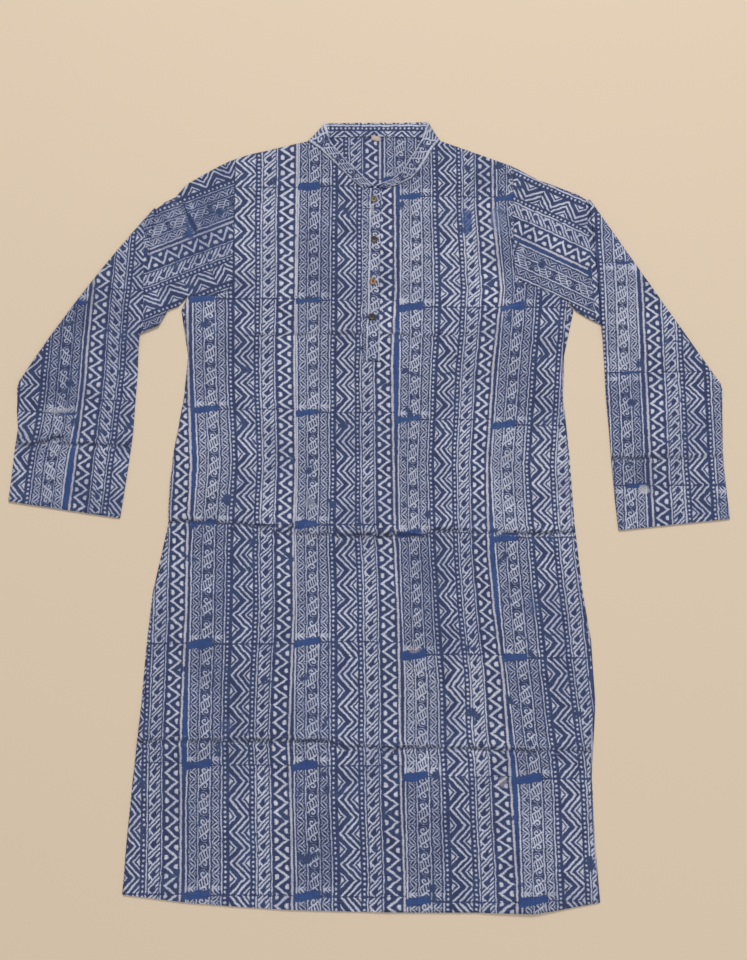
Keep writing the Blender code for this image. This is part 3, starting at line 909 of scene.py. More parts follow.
# Soft rows of (start x, start y, end x, end y, height, width), in millimetres. Narrow ones with a
# height below zero are the pressed creases, the wide ones round them are where the cloth stands up.
creases = {
    "body": (
        (-300, -39, -120, -43, -2.3, 3.0),
        (-130, -52, 70, -57, -2.0, 3.0),
        (110, -50, 305, -54, -1.9, 3.0),
        (-335, -352, -70, -354, -2.0, 3.0),
        (-90, -360, 318, -365, -2.2, 3.2),
        (-165, 244, 45, 248, -1.25, 2.8),
        (70, 244, 180, 250, -1.05, 2.4),
        (-282, 282, -180, 236, 0.7, 9),
        (-276, 296, -205, 268, -0.5, 5),
        (298, 292, 200, 250, 0.7, 10),
        (292, 305, 236, 284, -0.5, 5),
        (-250, 150, -235, -20, 0.35, 12),
        (262, 160, 255, 0, 0.35, 12),
        (-300, -240, -285, -420, 0.6, 11),
        (300, -120, 290, -330, 0.7, 11),
        (-190, 505, -150, 460, 0.6, 8),
        (196, 500, 150, 450, 0.7, 9),
        (-60, 60, -70, -30, 0.3, 12),
        (90, -90, 100, -260, 0.35, 14),
        (-150, -110, -160, -300, 0.3, 14),
        (20, -380, 25, -560, 0.35, 14),
        (-220, -400, -226, -560, 0.35, 13),
        (130, -400, 138, -560, 0.45, 12),
        (255, -400, 262, -570, 0.5, 12),
    ),
    "sleeve": (
        (-535, 86, -350, 78, -2.7, 3.3),
        (-535, 74, -470, 88, -1.3, 2.8),
        (-535, 100, -350, 96, 0.5, 8),
        (-480, 250, -400, 300, 0.6, 10),
        (-285, 455, -240, 395, 0.9, 9),
        (-270, 480, -246, 440, -0.6, 5),
        (-299, 464, -273, 424, -1.5, 2.8),
        (-294, 486, -306, 464, -1.2, 2.6),
        (-330, 452, -312, 430, -1.0, 2.6),
        (-330, 330, -300, 280, 0.5, 9),
        (350, 58, 535, 62, -1.5, 3.0),
        (350, 75, 535, 78, 0.4, 8),
        (350, 176, 535, 150, 0.35, 9),
        (336, 470, 300, 400, 0.8, 10),
        (330, 430, 345, 400, -0.6, 5),
        (300, 330, 345, 300, 0.5, 8),
        (470, 250, 400, 300, 0.5, 10),
    ),
}

# How a crease strays from its row: millimetres, shares of its height, or waves in a metre.
creaseStray = {
    "reach": (3.2, 16.0),        # in its own widths to each side, and the least in millimetres
    "pastEnds": 0.3,             # of its length
    "fade": 28.0,
    "wobbleWaves": 45.0,
    "wobble": 2.6,
    "wobbleSeed": 370.0,
    "bowWaves": 6.0,
    "bow": 5.0,
    "bowSeeds": (70.0, 90.0),
    "unevenWaves": 18.0,
    "uneven": 0.85,
    "unevenSeeds": (110.0, 130.0),
    "usual": 0.72,
    "weakest": 0.12,
    "deepHolds": -0.24,          # how much of a deep one is left where it is weak
    "sharpDepth": (0.5, 1.6),
    "sharpBand": (6.0, 11.0),
    "fineBand": 7.0,             # the mesh is finer this near to a pressed crease
    "fineRun": 15.0,
}
softness = {"reach": 45 * mm, "height": 0.55 * mm, "fineReach": 14 * mm, "fineHeight": 0.16 * mm,
            "fineLevel": 0.2}


def creaseLines(rows):
    # start, direction, length, height and width of each row, in metres
    found = []
    for startX, startY, endX, endY, height, width in rows:
        run = Vector((endX - startX, endY - startY)) * mm
        aimX, aimY = run.normalized()
        found.append((startX * mm, startY * mm, aimX, aimY, run.length, height * mm, width * mm))
    return found


def smooth(value, low, high):
    share = min(1.0, max(0.0, (value - low) / (high - low)))
    return share * share * (3 - 2 * share)


def noiseAt(x, y, z, reach=1.0):
    return noise.noise(Vector((x, y, z)) / reach)


def creasesAt(x, y, lines):
    # height from all the rows, with the distance to the nearest pressed crease and its sharpness
    total, gap, press = 0.0, 0.0, 0.0
    wide, least = creaseStray["reach"]
    shallow, deep = creaseStray["sharpDepth"]
    inner, outer = creaseStray["sharpBand"]
    for startX, startY, aimX, aimY, length, height, width in lines:
        offX, offY = x - startX, y - startY
        along = offX * aimX + offY * aimY
        if not -creaseStray["pastEnds"] * length <= along <= (1 + creaseStray["pastEnds"]) * length:
            continue
        across = offX * aimY - offY * aimX
        if abs(across) > max(wide * width, least * mm):
            continue
        # where a crease starts tells its noise from that of the others
        waves, seed = creaseStray["wobbleWaves"], creaseStray["wobbleSeed"]
        across += noiseAt(x * waves, y * waves, startY * seed) * creaseStray["wobble"] * mm
        past = max(-along, along - length, 0.0) / (creaseStray["fade"] * mm)
        waves, (seedX, seedY) = creaseStray["bowWaves"], creaseStray["bowSeeds"]
        across += noiseAt(along * waves, startX * seedX, startY * seedY) * creaseStray["bow"] * mm
        waves, (seedX, seedY) = creaseStray["unevenWaves"], creaseStray["unevenSeeds"]
        uneven = noiseAt(along * waves, startX * seedX, startY * seedY)
        uneven = creaseStray["usual"] + creaseStray["uneven"] * uneven
        uneven = max(creaseStray["weakest"], height / mm * creaseStray["deepHolds"], uneven)
        share = uneven * math.exp(-past * past)
        total += height * share * math.exp(-(across / width) ** 2)
        sharp = share * smooth(-height, shallow * mm, deep * mm)
        sharp = sharp * (1 - smooth(abs(across), inner * mm, outer * mm))
        if sharp > press:
            gap, press = across / mm, min(1.0, sharp)
    return total, gap, press


def soften(x, y):
    broad = noiseAt(x, y, 0.0, softness["reach"])
    fine = noiseAt(x, y, softness["fineLevel"], softness["fineReach"])
    return broad * softness["height"] + fine * softness["fineHeight"]


def nearCrease(x, y, lines):
    band, run = creaseStray["fineBand"] * mm, creaseStray["fineRun"] * mm
    for startX, startY, aimX, aimY, length, height, _ in lines:
        offX, offY = x - startX, y - startY
        if height < 0 and abs(offX * aimY - offY * aimX) < band:
            if -run < offX * aimX + offY * aimY < length + run:
                return True
    return False


# The right edge of the placket is drawn in towards the buttons, in millimetres: by how much, and
# where across and along the pull starts, is full and ends.
placketPinch = {
    "by": 5.8,
    "start": (6.0, 17.0),
    "end": (24.0, 70.0),
    "foot": (150.0, 215.0),
    "weaker": (380.0, 470.0, 0.7),
    "top": (483.0, 500.0),
}


def pinch(x, y):
    # how far the cloth at a place is drawn in
    pull = placketPinch
    x, y = x / mm, y / mm
    across = smooth(x, *pull["start"]) * (1 - smooth(x, *pull["end"]))
    low, high, weaker = pull["weaker"]
    along = smooth(y, *pull["foot"]) * (1 - weaker * smooth(y, low, high))
    return pull["by"] * mm * across * along * (1 - smooth(y, *pull["top"]))


# How a wall from the frame becomes cloth. Facing is a face's or vertex's normal up, lengths are metres.
weaving = {
    "weld": 2e-6,
    "snap": 1e-5,
    "sliver": 1e-6,
    "rounds": 9,
    "topFacing": 0.25,
    "creaseShare": 0.5,          # edge length beside a pressed crease
    "shownFacing": 0.35,
    "clear": 0.3 * mm,
    "thinnest": 0.55 * mm,
    "underGap": 0.1 * mm,
}


def splitFaces(bm):
    bmesh.ops.triangulate(bm, faces=[face for face in bm.faces if len(face.verts) > 3])


def clothMesh(node, topEdge, hiddenEdge, lines=()):
    # a merged copy of a node's wall, with long edges split until they are short enough
    bm = bmesh.new()
    bm.from_mesh(frame["nodes"][node].data)
    bmesh.ops.remove_doubles(bm, verts=bm.verts, dist=weaving["weld"])
    for vert in bm.verts:
        vert.co.x -= pinch(vert.co.x, vert.co.y)
    for _ in range(weaving["rounds"]):
        long = []
        for edge in bm.edges:
            facing = sum(face.normal.z for face in edge.link_faces) / max(1, len(edge.link_faces))
            middle = (edge.verts[0].co + edge.verts[1].co) / 2
            most = topEdge if facing > weaving["topFacing"] else hiddenEdge
            if abs(facing) > weaving["topFacing"] and nearCrease(middle.x, middle.y, lines):
                most = topEdge * weaving["creaseShare"]
            if edge.calc_length() > most:
                long.append(edge)
        if not long:
            break
        bmesh.ops.subdivide_edges(bm, edges=long, cuts=1)
        splitFaces(bm)
    bm.normal_update()
    return bm


def shapeCloth(bm, height, smoothing, lowest=0.0, lines=()):
    # what shows from above is softened and creased, and the wall under it follows
    tree = BVHTree.FromBMesh(bm)
    fold = bm.verts.layers.float_vector.new("fold")
    shown = []
    under = []
    for vert in bm.verts:
        if vert.normal.z > weaving["shownFacing"]:
            if tree.ray_cast(vert.co + up * weaving["clear"], up)[0] is None:
                shown.append(vert)
        elif lowest and vert.normal.z < -weaving["shownFacing"]:
            under.append(vert)
    for _ in range(smoothing):
        bmesh.ops.smooth_vert(bm, verts=shown, factor=0.5, use_axis_z=True)
    for vert in shown:
        raised, gap, press = creasesAt(vert.co.x, vert.co.y, lines)
        vert[fold] = (gap, press, 0.0)
        vert.co.z += height(vert.co.x, vert.co.y, raised)
        if lowest:
            vert.co.z = max(vert.co.z, lowest + weaving["thinnest"])
    for vert in under:
        raised, gap, press = creasesAt(vert.co.x, vert.co.y, lines)
        level = vert.co.z + height(vert.co.x, vert.co.y, raised) - weaving["underGap"]
        vert.co.z = max(lowest, level)


def finishCloth(name, bm, mapping, material, node, slotName):
    # mapping gives, for a face, what turns a place in millimetres into one on the flat cloth
    bmesh.ops.dissolve_degenerate(bm, dist=weaving["sliver"], edges=bm.edges)
    mesh = bpy.data.meshes.new(name)
    bm.to_mesh(mesh)
    bm.free()
    for extra in [item.name for item in mesh.attributes if not item.is_required]:
        if extra not in ("fold", "gutter"):
            attribute = mesh.attributes.get(extra)
            if attribute is not None and not attribute.is_internal:
                mesh.attributes.remove(attribute)
    layer = mesh.uv_layers.new(name="cloth")
    for face in mesh.polygons:
        place = mapping(face.center)
        for corner in face.loop_indices:
            point = mesh.vertices[mesh.loops[corner].vertex_index].co
            across, down = place(point.x / mm, point.y / mm)
            layer.data[corner].uv = (across * mm, down * mm)
    mesh.shade_smooth()
    mesh.materials.append(material)
    piece = bpy.data.objects.new(name, mesh)
    bpy.context.scene.collection.objects.link(piece)
    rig.ride(piece, "root")
    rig.replaces(piece, node)
    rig.slot(piece, slotName)
    print("stage:", name, len(mesh.polygons), "triangles")


# The printer sets the block down column by column. For each column, from the left: x of the widest
# line at its left, x of its first line, and y of its joints, in millimetres.
bodyPrint = {
    "heights": (448, 320, 202, 49, -78, -166, -267, -352, -435, -544),
    "widest": {
        -2: (-419, -419, -420, -412, -415, -414, -417, -420, -418, -417),
        -1: (-283, -278, -274, -265.5, -268, -267, -269, -270.5, -267.5, -265.5),
        0: (-112, -112, -113, -109, -111.5, -109.5, -112.5, -115, -111, -107.5),
        1: (40, 41, 35, 37, 39, 43, 44.5, 45, 46.5, 51),
        2: (192.5, 203, 188.5, 176.5, 176.5, 183.5, 195.5, 200, 204, 209),
        3: (343, 352, 340, 327, 330, 340, 348, 357, 362, 363),
    },
    "first": {
        -2: (-412, -411, -412, -402, -408, -408, -408, -408, -410, -409),
        -1: (-274.5, -270, -265.5, -255, -261.5, -260.5, -260.5, -259, -260.5, -257.5),
        0: (-109, -110.5, -109, -106.5, -108, -105.5, -107, -106.5, -106, -101.5),
        1: (49, 48.5, 47, 44, 46, 48.5, 53, 52.5, 53, 55),
        2: (198.5, 207.5, 196, 182.5, 187, 193, 201, 209, 214.5, 216),
        3: (350, 359, 347, 334, 337, 347, 355, 364, 369, 370),
    },
    "joints": {
        -2: (482, 306, 136, -39, -214, -383, -562),
        -1: (484, 305, 133, -40, -215, -386, -564),
        0: (486, 302, 128, -41, -212, -387, -566),
        1: (469, 291.5, 118, -54, -230, -402, -573),
        2: (467, 291, 108, -61, -235, -405, -571),
    },
    "backLine": 24.2,
    "backJoint": 497.0,
}
sleevePrint = {
    # a point on the widest line at a joint, the way down the cloth there, and the gap to the next
    # column at the joint and gapRun below it. The cloth may be skewed, and the next column set lower.
    "gapRun": 120.0,
    "leftUpper": {"point": (-265.7, 406.0), "down": (-0.925, -0.381), "mirror": -1, "gap": (7, 7)},
    "leftLower": {"point": (-430.6, 149.0), "down": (-0.055, -0.998), "mirror": -1, "gap": (7.5, 12),
                  "skew": -0.03, "drop": 24},
    "rightUpper": {"point": (234.6, 401.8), "down": (-0.899, 0.437), "mirror": 1, "gap": (9, 9)},
    "rightLower": {"point": (419.0, 190.0), "down": (-0.012, 1.0), "mirror": 1, "gap": (8.5, 8.5)},
    # the folded part ends over this line, from the top to the foot
    "leftStep": ((-348.0, 470.0), (-343.0, 225.0)),
    "rightStep": ((337.0, 446.0), (347.5, 250.0)),
}


# Where the true place of the lines between two columns stops counting, in millimetres.
gutterFade = {"body": (16.0, 24.0), "back": (20.0, 28.0), "sleeve": (18.0, 26.0), "step": (0.5, 5.0)}


def between(level, levels, values):
    # straight steps between charted values; levels fall, and the end steps run on past the ends
    step = 0
    while step < len(levels) - 2 and level < levels[step + 1]:
        step += 1
    share = (level - levels[step]) / (levels[step + 1] - levels[step])
    return values[step] + share * (values[step + 1] - values[step])


def charted(column, y):
    # x of a column's widest line and of its first line at a height
    heights = bodyPrint["heights"]
    level = min(heights[0], max(heights[-1], y))
    return [between(level, heights, bodyPrint[line][column]) for line in ("widest", "first")]


def columnPlace(column):
    width, last = printBlock["width"], widestLine[0]
    joints = bodyPrint["joints"][column]
    rows = [printBlock["height"] * number for number in range(len(joints))]

    def place(x, y):
        left, first = charted(column, y)
        widest, after = charted(column + 1, y)
        if x < first:
            across = (width - last) * (x - first) / (first - left)
        elif x < widest:
            across = last * (x - first) / (widest - first)
        else:
            across = last + (width - last) * (x - widest) / (after - widest)
        return across + column * width, between(y, joints, rows)

    return place


columnPlaces = {column: columnPlace(column) for column in bodyPrint["joints"]}


def bodyMapping(centre):
    x, y, _ = centre / mm
    column = min(columnPlaces)
    while column < max(columnPlaces) and x > sum(charted(column + 1, y)) / 2:
        column += 1
    return columnPlaces[column]


def bodyGutter(x, y):
    # distances past the widest line and past the first line of the nearest column, and how near
    best = None
    for column in bodyPrint["widest"]:
        left, first = charted(column, y)
        away = abs(x - (left + first) / 2)
        if best is None or away < best[0]:
            best = (away, x - left, x - first)
    return best[1], best[2], 1 - smooth(best[0], *gutterFade["body"])


def backPlace(x, y):
    return x - bodyPrint["backLine"], bodyPrint["backJoint"] - y


def backGutter(x, y):
    width = printBlock["width"]
    along = (x - bodyPrint["backLine"] + width / 2) % width - width / 2
    return along + (width - widestLine[0]), along, 1 - smooth(abs(along), *gutterFade["back"])


def sleeveStep(chart, x, y):
    # along the block and across it from the widest line, with the gap to the next column there
    originX, originY = chart["point"]
    downX, downY = chart["down"]
    offX, offY = x - originX, y - originY
    down = offX * downX + offY * downY
    across = (offX * -downY + offY * downX) * chart["mirror"] + chart.get("skew", 0) * max(0.0, down)
    near, far = chart["gap"]
    return across, down, near + (far - near) * smooth(down, 0.0, sleevePrint["gapRun"])


def sleevePlace(chart):
    widest, drop = widestLine[0], chart.get("drop", 0)
    usual = printBlock["width"] - widest

    def place(x, y):
        across, down, gap = sleeveStep(chart, x, y)
        if across > gap:
            across, down = across + usual - gap, down - drop
        elif across > 0:
            across, down = across * usual / gap, down - drop * across / gap
        return widest + across, down

    return place


def pastStep(side, x, y):
    # how far a place lies past the end of the folded part, towards the cuff
    (topX, topY), (footX, footY) = sleevePrint[side + "Step"]
    edge = topX + (footX - topX) * (topY - y) / (topY - footY)
    return (edge - x) if side == "left" else (x - edge)


def sleeveMapping(side):
    upper = sleevePlace(sleevePrint[side + "Upper"])
    lower = sleevePlace(sleevePrint[side + "Lower"])
    return lambda centre: lower if pastStep(side, centre.x / mm, centre.y / mm) > 0 else upper


def sleeveGutter(side):
    width = printBlock["width"]

    def gutterAt(x, y):
        past = pastStep(side, x, y)
        across, _, gap = sleeveStep(sleevePrint[side + ("Lower" if past > 0 else "Upper")], x, y)
        across = (across - gap / 2 + width / 2) % width - width / 2 + gap / 2
        near = 1 - smooth(abs(across - gap / 2), *gutterFade["sleeve"])
        return across, across - gap, near * smooth(abs(past), *gutterFade["step"])

    return gutterAt


def splitAtStep(side):
    # an edge of the mesh runs along the step, so that the print changes cleanly there
    (topX, topY), (footX, footY) = sleevePrint[side + "Step"]
    run = Vector((footX - topX, footY - topY, 0)).normalized()

    def split(bm):
        everything = list(bm.verts) + list(bm.edges) + list(bm.faces)
        top = Vector((topX, topY, 0)) * mm
        bmesh.ops.bisect_plane(bm, geom=everything, dist=weaving["snap"], plane_co=top,
                               plane_no=run.cross(up))
        splitFaces(bm)

    return split


def nearestOn(path, x, y):
    # distance to a path and the run along it, in metres
    best, run, walked = 1.0, 0.0, 0.0
    for (startX, startY), (endX, endY) in zip(path, path[1:]):
        lineX, lineY = (endX - startX) * mm, (endY - startY) * mm
        length = math.hypot(lineX, lineY)
        offX, offY = x - startX * mm, y - startY * mm
        along = min(length, max(0.0, (offX * lineX + offY * lineY) / length))
        gap = math.hypot(offX - lineX * along / length, offY - lineY * along / length)
        if gap < best:
            best, run = gap, walked + along
        walked += length
    return best, run


# The neck: where the collar is sewn on and where its free edge lies, from the shoulder to the V.
neckPaths = {
    "leftSeam": ((-95, 560), (-76, 547), (-58, 530), (-42, 514), (-27, 498), (-9, 483)),
    "leftEdge": ((-69, 590), (-60, 558), (-46, 540), (-33, 525), (-15, 508), (8, 487)),
    "rightSeam": ((110, 561), (99, 549), (90, 533), (79, 515), (66, 500), (45, 489), (22, 483)),
    "rightEdge": ((93, 592), (83, 563), (72, 543), (60, 524), (50, 508), (36, 497), (11, 487)),
    "backSeam": ((-80, 566), (-30, 568), (12, 569), (55, 568), (96, 566)),
}
# Where the front stays flat under the placket, and where it is calm along the neck seam.
frontCalm = {"placketFoot": 200 * mm, "placketSides": (-14 * mm, 24 * mm), "neckFoot": 465 * mm,
             "seam": (3 * mm, 22 * mm)}


def frontHeight(x, y, raised):
    left, right = frontCalm["placketSides"]
    if y > frontCalm["placketFoot"] and left < x < right:
        return 0.0
    calm = 1.0
    if y > frontCalm["neckFoot"]:
        fromSeam = min(nearestOn(neckPaths[side + "Seam"], x, y)[0] for side in ("left", "right"))
        calm = smooth(fromSeam, *frontCalm["seam"])
    return (raised + soften(x, y)) * calm


def sleeveHeight(x, y, raised):
    # no lower than this, so that the layers of the sleeve stay apart
    return max(-0.9 * mm, raised + soften(x, y))


def stripHeight(share):
    # a sewn strip is calmer than the open cloth
    return lambda x, y, raised: share * soften(x, y)


# Where the strips are cut from the print, in millimetres: the lines of the block that run along the
# collar, and y, left x and right x of the placket at its top and its foot.
trimPrint = {
    "seamLine": 33.4,
    "edgeLine": 14.3,
    "stripStart": 14.0,
    "backDots": (92.2, 582.5),
    "backStart": 60.0,
    "placketTop": (484.0, 2.6, 21.8),
    "placketFoot": (210.0, -2.6, 15.6),
    "placketJoint": 276.0,
}
collarLay = {
    "middle": 10.0,
    "backUnder": 1.9,            # the back part of the collar lies lower than this
    "sewnWithin": 1.1,
    "lap": 1.5,
    "liftFront": 0.35,
    "liftBack": 1.15,
    "frontCentre": (10, 560),
    "backCentre": (10, 640),
}


def collarBackPlace(x, y):
    dots, level = trimPrint["backDots"]
    return dots - (level - y), x + trimPrint["backStart"]


def collarStripPlace(side):
    def place(x, y):
        fromSeam, run = nearestOn(neckPaths[side + "Seam"], x * mm, y * mm)
        fromEdge, _ = nearestOn(neckPaths[side + "Edge"], x * mm, y * mm)
        share = fromSeam / max(1e-6, fromSeam + fromEdge)
        line = trimPrint["seamLine"] + share * (trimPrint["edgeLine"] - trimPrint["seamLine"])
        return line, run / mm + trimPrint["stripStart"]

    return place


def collarMapping(centre):
    x, _, z = centre / mm
    if z < collarLay["backUnder"]:
        return collarBackPlace
    return collarStripPlace("left" if x < collarLay["middle"] else "right")


def lapOver(bm):
    # the collar's sewn edge laps over the panels by a hair, so that the seam is closed
    paths = [neckPaths[name] for name in ("leftSeam", "rightSeam", "backSeam")]
    for vert in bm.verts:
        if min(nearestOn(path, vert.co.x, vert.co.y)[0] for path in paths) < collarLay["sewnWithin"] * mm:
            part = "Front" if vert.co.z > collarLay["backUnder"] * mm else "Back"
            centre = Vector(collarLay[part.lower() + "Centre"]) * mm
            away = (vert.co.xy - centre).normalized() * collarLay["lap"] * mm
            vert.co += Vector((away.x, away.y, collarLay["lift" + part] * mm))


def placketPlace(x, y):
    topY, topLeft, topRight = trimPrint["placketTop"]
    footY, footLeft, footRight = trimPrint["placketFoot"]
    share = (y - footY) / (topY - footY)
    left = footLeft + share * (topLeft - footLeft)
    right = footRight + share * (topRight - footRight)
    inner, outer = printBlock["lines"][1][0], printBlock["lines"][2][0]
    return inner + (outer - inner) * (x - left) / (right - left), trimPrint["placketJoint"] - y


def markGutter(bm, gutterAt):
    layer = bm.verts.layers.float_vector.new("gutter")
    for vert in bm.verts:
        vert[layer] = gutterAt(vert.co.x / mm, vert.co.y / mm)


# Each cloth piece: the node it stands for, its slot and finish, the longest edges of the mesh on top
# and out of sight, how it is shaped, and the size that it is cut to. Lengths of edges are in
# millimetres, cut sizes in metres. An area is given where the cut isn't a rectangle.
bodyLines = creaseLines(creases["body"])
sleeveLines = creaseLines(creases["sleeve"])
clothPieces = {
    "frontPanel": {
        "node": "front_panel", "slot": "cloth", "finish": "body", "edges": (7.4, 16),
        "mapping": bodyMapping, "gutter": bodyGutter,
        "height": frontHeight, "smoothing": 8, "lowest": 1.15, "lines": bodyLines,
        "flat": (0.672, 1.150), "area": 0.645, "on": ("backPanel",), "with": ("hemStitches",),
    },
    "backPanel": {
        "node": "back_panel", "slot": "cloth_inside", "finish": "inside", "edges": (14, 24),
        "mapping": lambda centre: backPlace, "gutter": backGutter,
        "flat": (0.675, 1.158), "area": 0.665, "on": ("studioFloor",), "with": ("neckLabel",),
    },
    "sleeveLeft": {
        "node": "sleeve_left", "slot": "cloth", "finish": "sleeveLeft", "edges": (7.0, 14),
        "prepare": splitAtStep("left"), "mapping": sleeveMapping("left"), "gutter": sleeveGutter("left"),
        "height": sleeveHeight, "smoothing": 8, "lines": sleeveLines,
        "flat": (0.430, 0.600), "area": 0.208, "on": ("studioFloor",), "with": ("leftCuffStitches",),
    },
    "sleeveRight": {
        "node": "sleeve_right", "slot": "cloth", "finish": "sleeveRight", "edges": (7.0, 14),
        "prepare": splitAtStep("right"), "mapping": sleeveMapping("right"),
        "gutter": sleeveGutter("right"),
        "height": sleeveHeight, "smoothing": 8, "lines": sleeveLines,
        "flat": (0.430, 0.600), "area": 0.202, "on": ("studioFloor",), "with": ("rightCuffStitches",),
    },
    "collarBand": {
        "node": "collar", "slot": "cloth", "finish": "trim", "edges": (5, 9),
        "prepare": lapOver, "mapping": collarMapping,
        "height": stripHeight(0.3), "smoothing": 4,
        "flat": (0.330, 0.030), "on": ("frontPanel", "backPanel"), "with": ("collarStitches",),
    },
    "placketOver": {
        "node": "placket_over", "slot": "cloth", "finish": "trim", "edges": (5, 10),
        "mapping": lambda centre: placketPlace,
        "height": stripHeight(0.4), "smoothing": 3,
        "flat": (0.031, 0.275), "on": ("placketUnder",), "with": ("placketStitches",),
    },
    "placketUnder": {
        "node": "placket_under", "slot": "cloth_inside", "finish": "trim", "edges": (8, 12),
        "mapping": lambda centre: placketPlace,
        "flat": (0.0255, 0.267), "on": ("backPanel",), "with": (),
    },
}

for name, piece in clothPieces.items():
    top, hidden = piece["edges"]
    lines = piece.get("lines", ())
    bm = clothMesh(piece["node"], top * mm, hidden * mm, lines)
    if "prepare" in piece:
        piece["prepare"](bm)
    if "gutter" in piece:
        markGutter(bm, piece["gutter"])
    if "height" in piece:
        shapeCloth(bm, piece["height"], piece["smoothing"], piece.get("lowest", 0.0) * mm, lines)
    finishCloth(name, bm, piece["mapping"], finishes[piece["finish"]], piece["node"], piece["slot"])


# Four wooden buttons: a rim round a shallow dish, four holes and a crossed thread. Millimetres.
button = {
    # place, turn in degrees, dark and pale tone of the wood
    "each": (
        ((7.5, 464), 12, (0.046, 0.034, 0.022, 1.0), (0.19, 0.145, 0.10, 1.0)),
        ((8, 399), 50, (0.017, 0.010, 0.008, 1.0), (0.062, 0.036, 0.028, 1.0)),
        ((6, 332), -25, (0.120, 0.050, 0.022, 1.0), (0.46, 0.24, 0.12, 1.0)),
        ((5, 276), 80, (0.014, 0.010, 0.007, 1.0), (0.058, 0.043, 0.029, 1.0)),
    ),
    "base": 3.9,
    "radius": 5.0,
    "thick": 2.0,
    "rimWidth": 0.95,
    "dishSlope": 0.35,
    "dishDepth": 0.55,
    "bedWidth": 1.5,
    "bedDepth": 0.12,
    "footWidth": 0.7,
    "holeRadius": 0.55,
    "holeSpacing": 1.9,
    "edge": 0.22,
    "threadRadius": 0.24,
    "threadDown": 0.35,
    "threadFlat": (0.55, 0.65),      # one loop lies a little higher, so that they cross
    "threadFrom": 0.25,
}
smoothBelow = math.radians(35)
flatFace = 0.9               # normal up or down of a flat face


def startFresh():
    if bpy.context.object and bpy.context.object.mode != "OBJECT":
        bpy.ops.object.mode_set(mode="OBJECT")
    bpy.ops.object.select_all(action="DESELECT")


def pickOnly(shape):
    bpy.ops.object.select_all(action="DESELECT")
    shape.select_set(True)
    bpy.context.view_layer.objects.active = shape


def pickFaces(shape, test):
    # in edit mode: select only the faces that pass the test
    bpy.ops.mesh.select_mode(type="FACE")
    bpy.ops.mesh.select_all(action="DESELECT")
    bm = bmesh.from_edit_mesh(shape.data)
    for face in bm.faces:
        face.select = test(face)
    bm.select_flush(True)
    bmesh.update_edit_mesh(shape.data)


def bevelEdges(shape, width, angle):
    # edges sharper than the angle are rounded over, the rest is only shaded smooth
    edge = shape.modifiers.new("edge", "BEVEL")
    edge.width = width * mm
    edge.segments = 2
    edge.limit_method = "ANGLE"
    edge.angle_limit = math.radians(angle)
    pickOnly(shape)
    bpy.ops.object.modifier_apply(modifier=edge.name)
    bpy.ops.object.shade_smooth_by_angle(angle=smoothBelow)


def settle(shape, name, slotName, material):
    # place, turn and scale go into the mesh, and the piece joins the garment
    pickOnly(shape)
    bpy.ops.object.transform_apply(location=True, rotation=True, scale=True)
    shape.name = name
    shape.data.name = name
    shape.data.materials.clear()
    shape.data.materials.append(material)
    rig.ride(shape, "root")
    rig.slot(shape, slotName)


def turnButton():
    startFresh()
    radius, thick = button["radius"] * mm, button["thick"] * mm
    bpy.ops.mesh.primitive_cylinder_add(vertices=40, radius=radius, depth=thick, location=(0, 0, thick / 2))
    shape = bpy.context.object
    bpy.ops.object.transform_apply(location=True, rotation=True, scale=True)
    bpy.ops.object.mode_set(mode="EDIT")
    pickFaces(shape, lambda face: face.normal.z > flatFace)
    bpy.ops.mesh.inset(thickness=button["rimWidth"] * mm)
    bpy.ops.mesh.inset(thickness=button["dishSlope"] * mm, depth=-button["dishDepth"] * mm)
    bpy.ops.mesh.inset(thickness=button["bedWidth"] * mm, depth=-button["bedDepth"] * mm)
    pickFaces(shape, lambda face: face.normal.z < -flatFace)
    bpy.ops.mesh.inset(thickness=button["footWidth"] * mm)
    bpy.ops.object.mode_set(mode="OBJECT")
    bore = button["holeSpacing"] / 2 * mm
    for x, y in ((bore, bore), (bore, -bore), (-bore, bore), (-bore, -bore)):
        bpy.ops.object.select_all(action="DESELECT")
        bpy.ops.mesh.primitive_cylinder_add(vertices=14, radius=button["holeRadius"] * mm, depth=3 * thick,
                                            location=(x, y, thick / 2))
        drill = bpy.context.object
        cut = shape.modifiers.new("hole", "BOOLEAN")
        cut.operation = "DIFFERENCE"
        cut.solver = "EXACT"
        cut.object = drill
        bpy.context.view_layer.objects.active = shape
        bpy.ops.object.modifier_apply(modifier=cut.name)
        bpy.data.objects.remove(drill, do_unlink=True)
    bevelEdges(shape, button["edge"], angle=40)
    return shape


def crossThread():
    # two loops of thread that cross in the dish and go down through the holes
    startFresh()
    reach = button["holeSpacing"] * math.sqrt(2) / 2 * mm
    level = (button["thick"] - button["dishDepth"] - button["threadDown"]) * mm
    loops = []
    for turn, flat in zip((45, 135), button["threadFlat"]):
        bpy.ops.mesh.primitive_torus_add(major_segments=24, minor_segments=8, major_radius=reach,
                                         minor_radius=button["threadRadius"] * mm, location=(0, 0, level),
                                         rotation=(math.radians(90), 0, math.radians(turn)))
        loop = bpy.context.object
        loop.scale = (1, flat, 1)
        loops.append(loop)
    for loop in loops:
        loop.select_set(True)
    bpy.context.view_layer.objects.active = loops[0]
    bpy.ops.object.transform_apply(location=True, rotation=True, scale=True)
    bpy.ops.object.join()
    shape = bpy.context.object
    bpy.ops.object.mode_set(mode="EDIT")
    bpy.ops.mesh.select_all(action="SELECT")
    bpy.ops.mesh.bisect(plane_co=(0, 0, button["threadFrom"] * mm), plane_no=up, clear_inner=True,
                        use_fill=True)
    bpy.ops.object.mode_set(mode="OBJECT")
    bpy.ops.object.shade_smooth()
    return shape


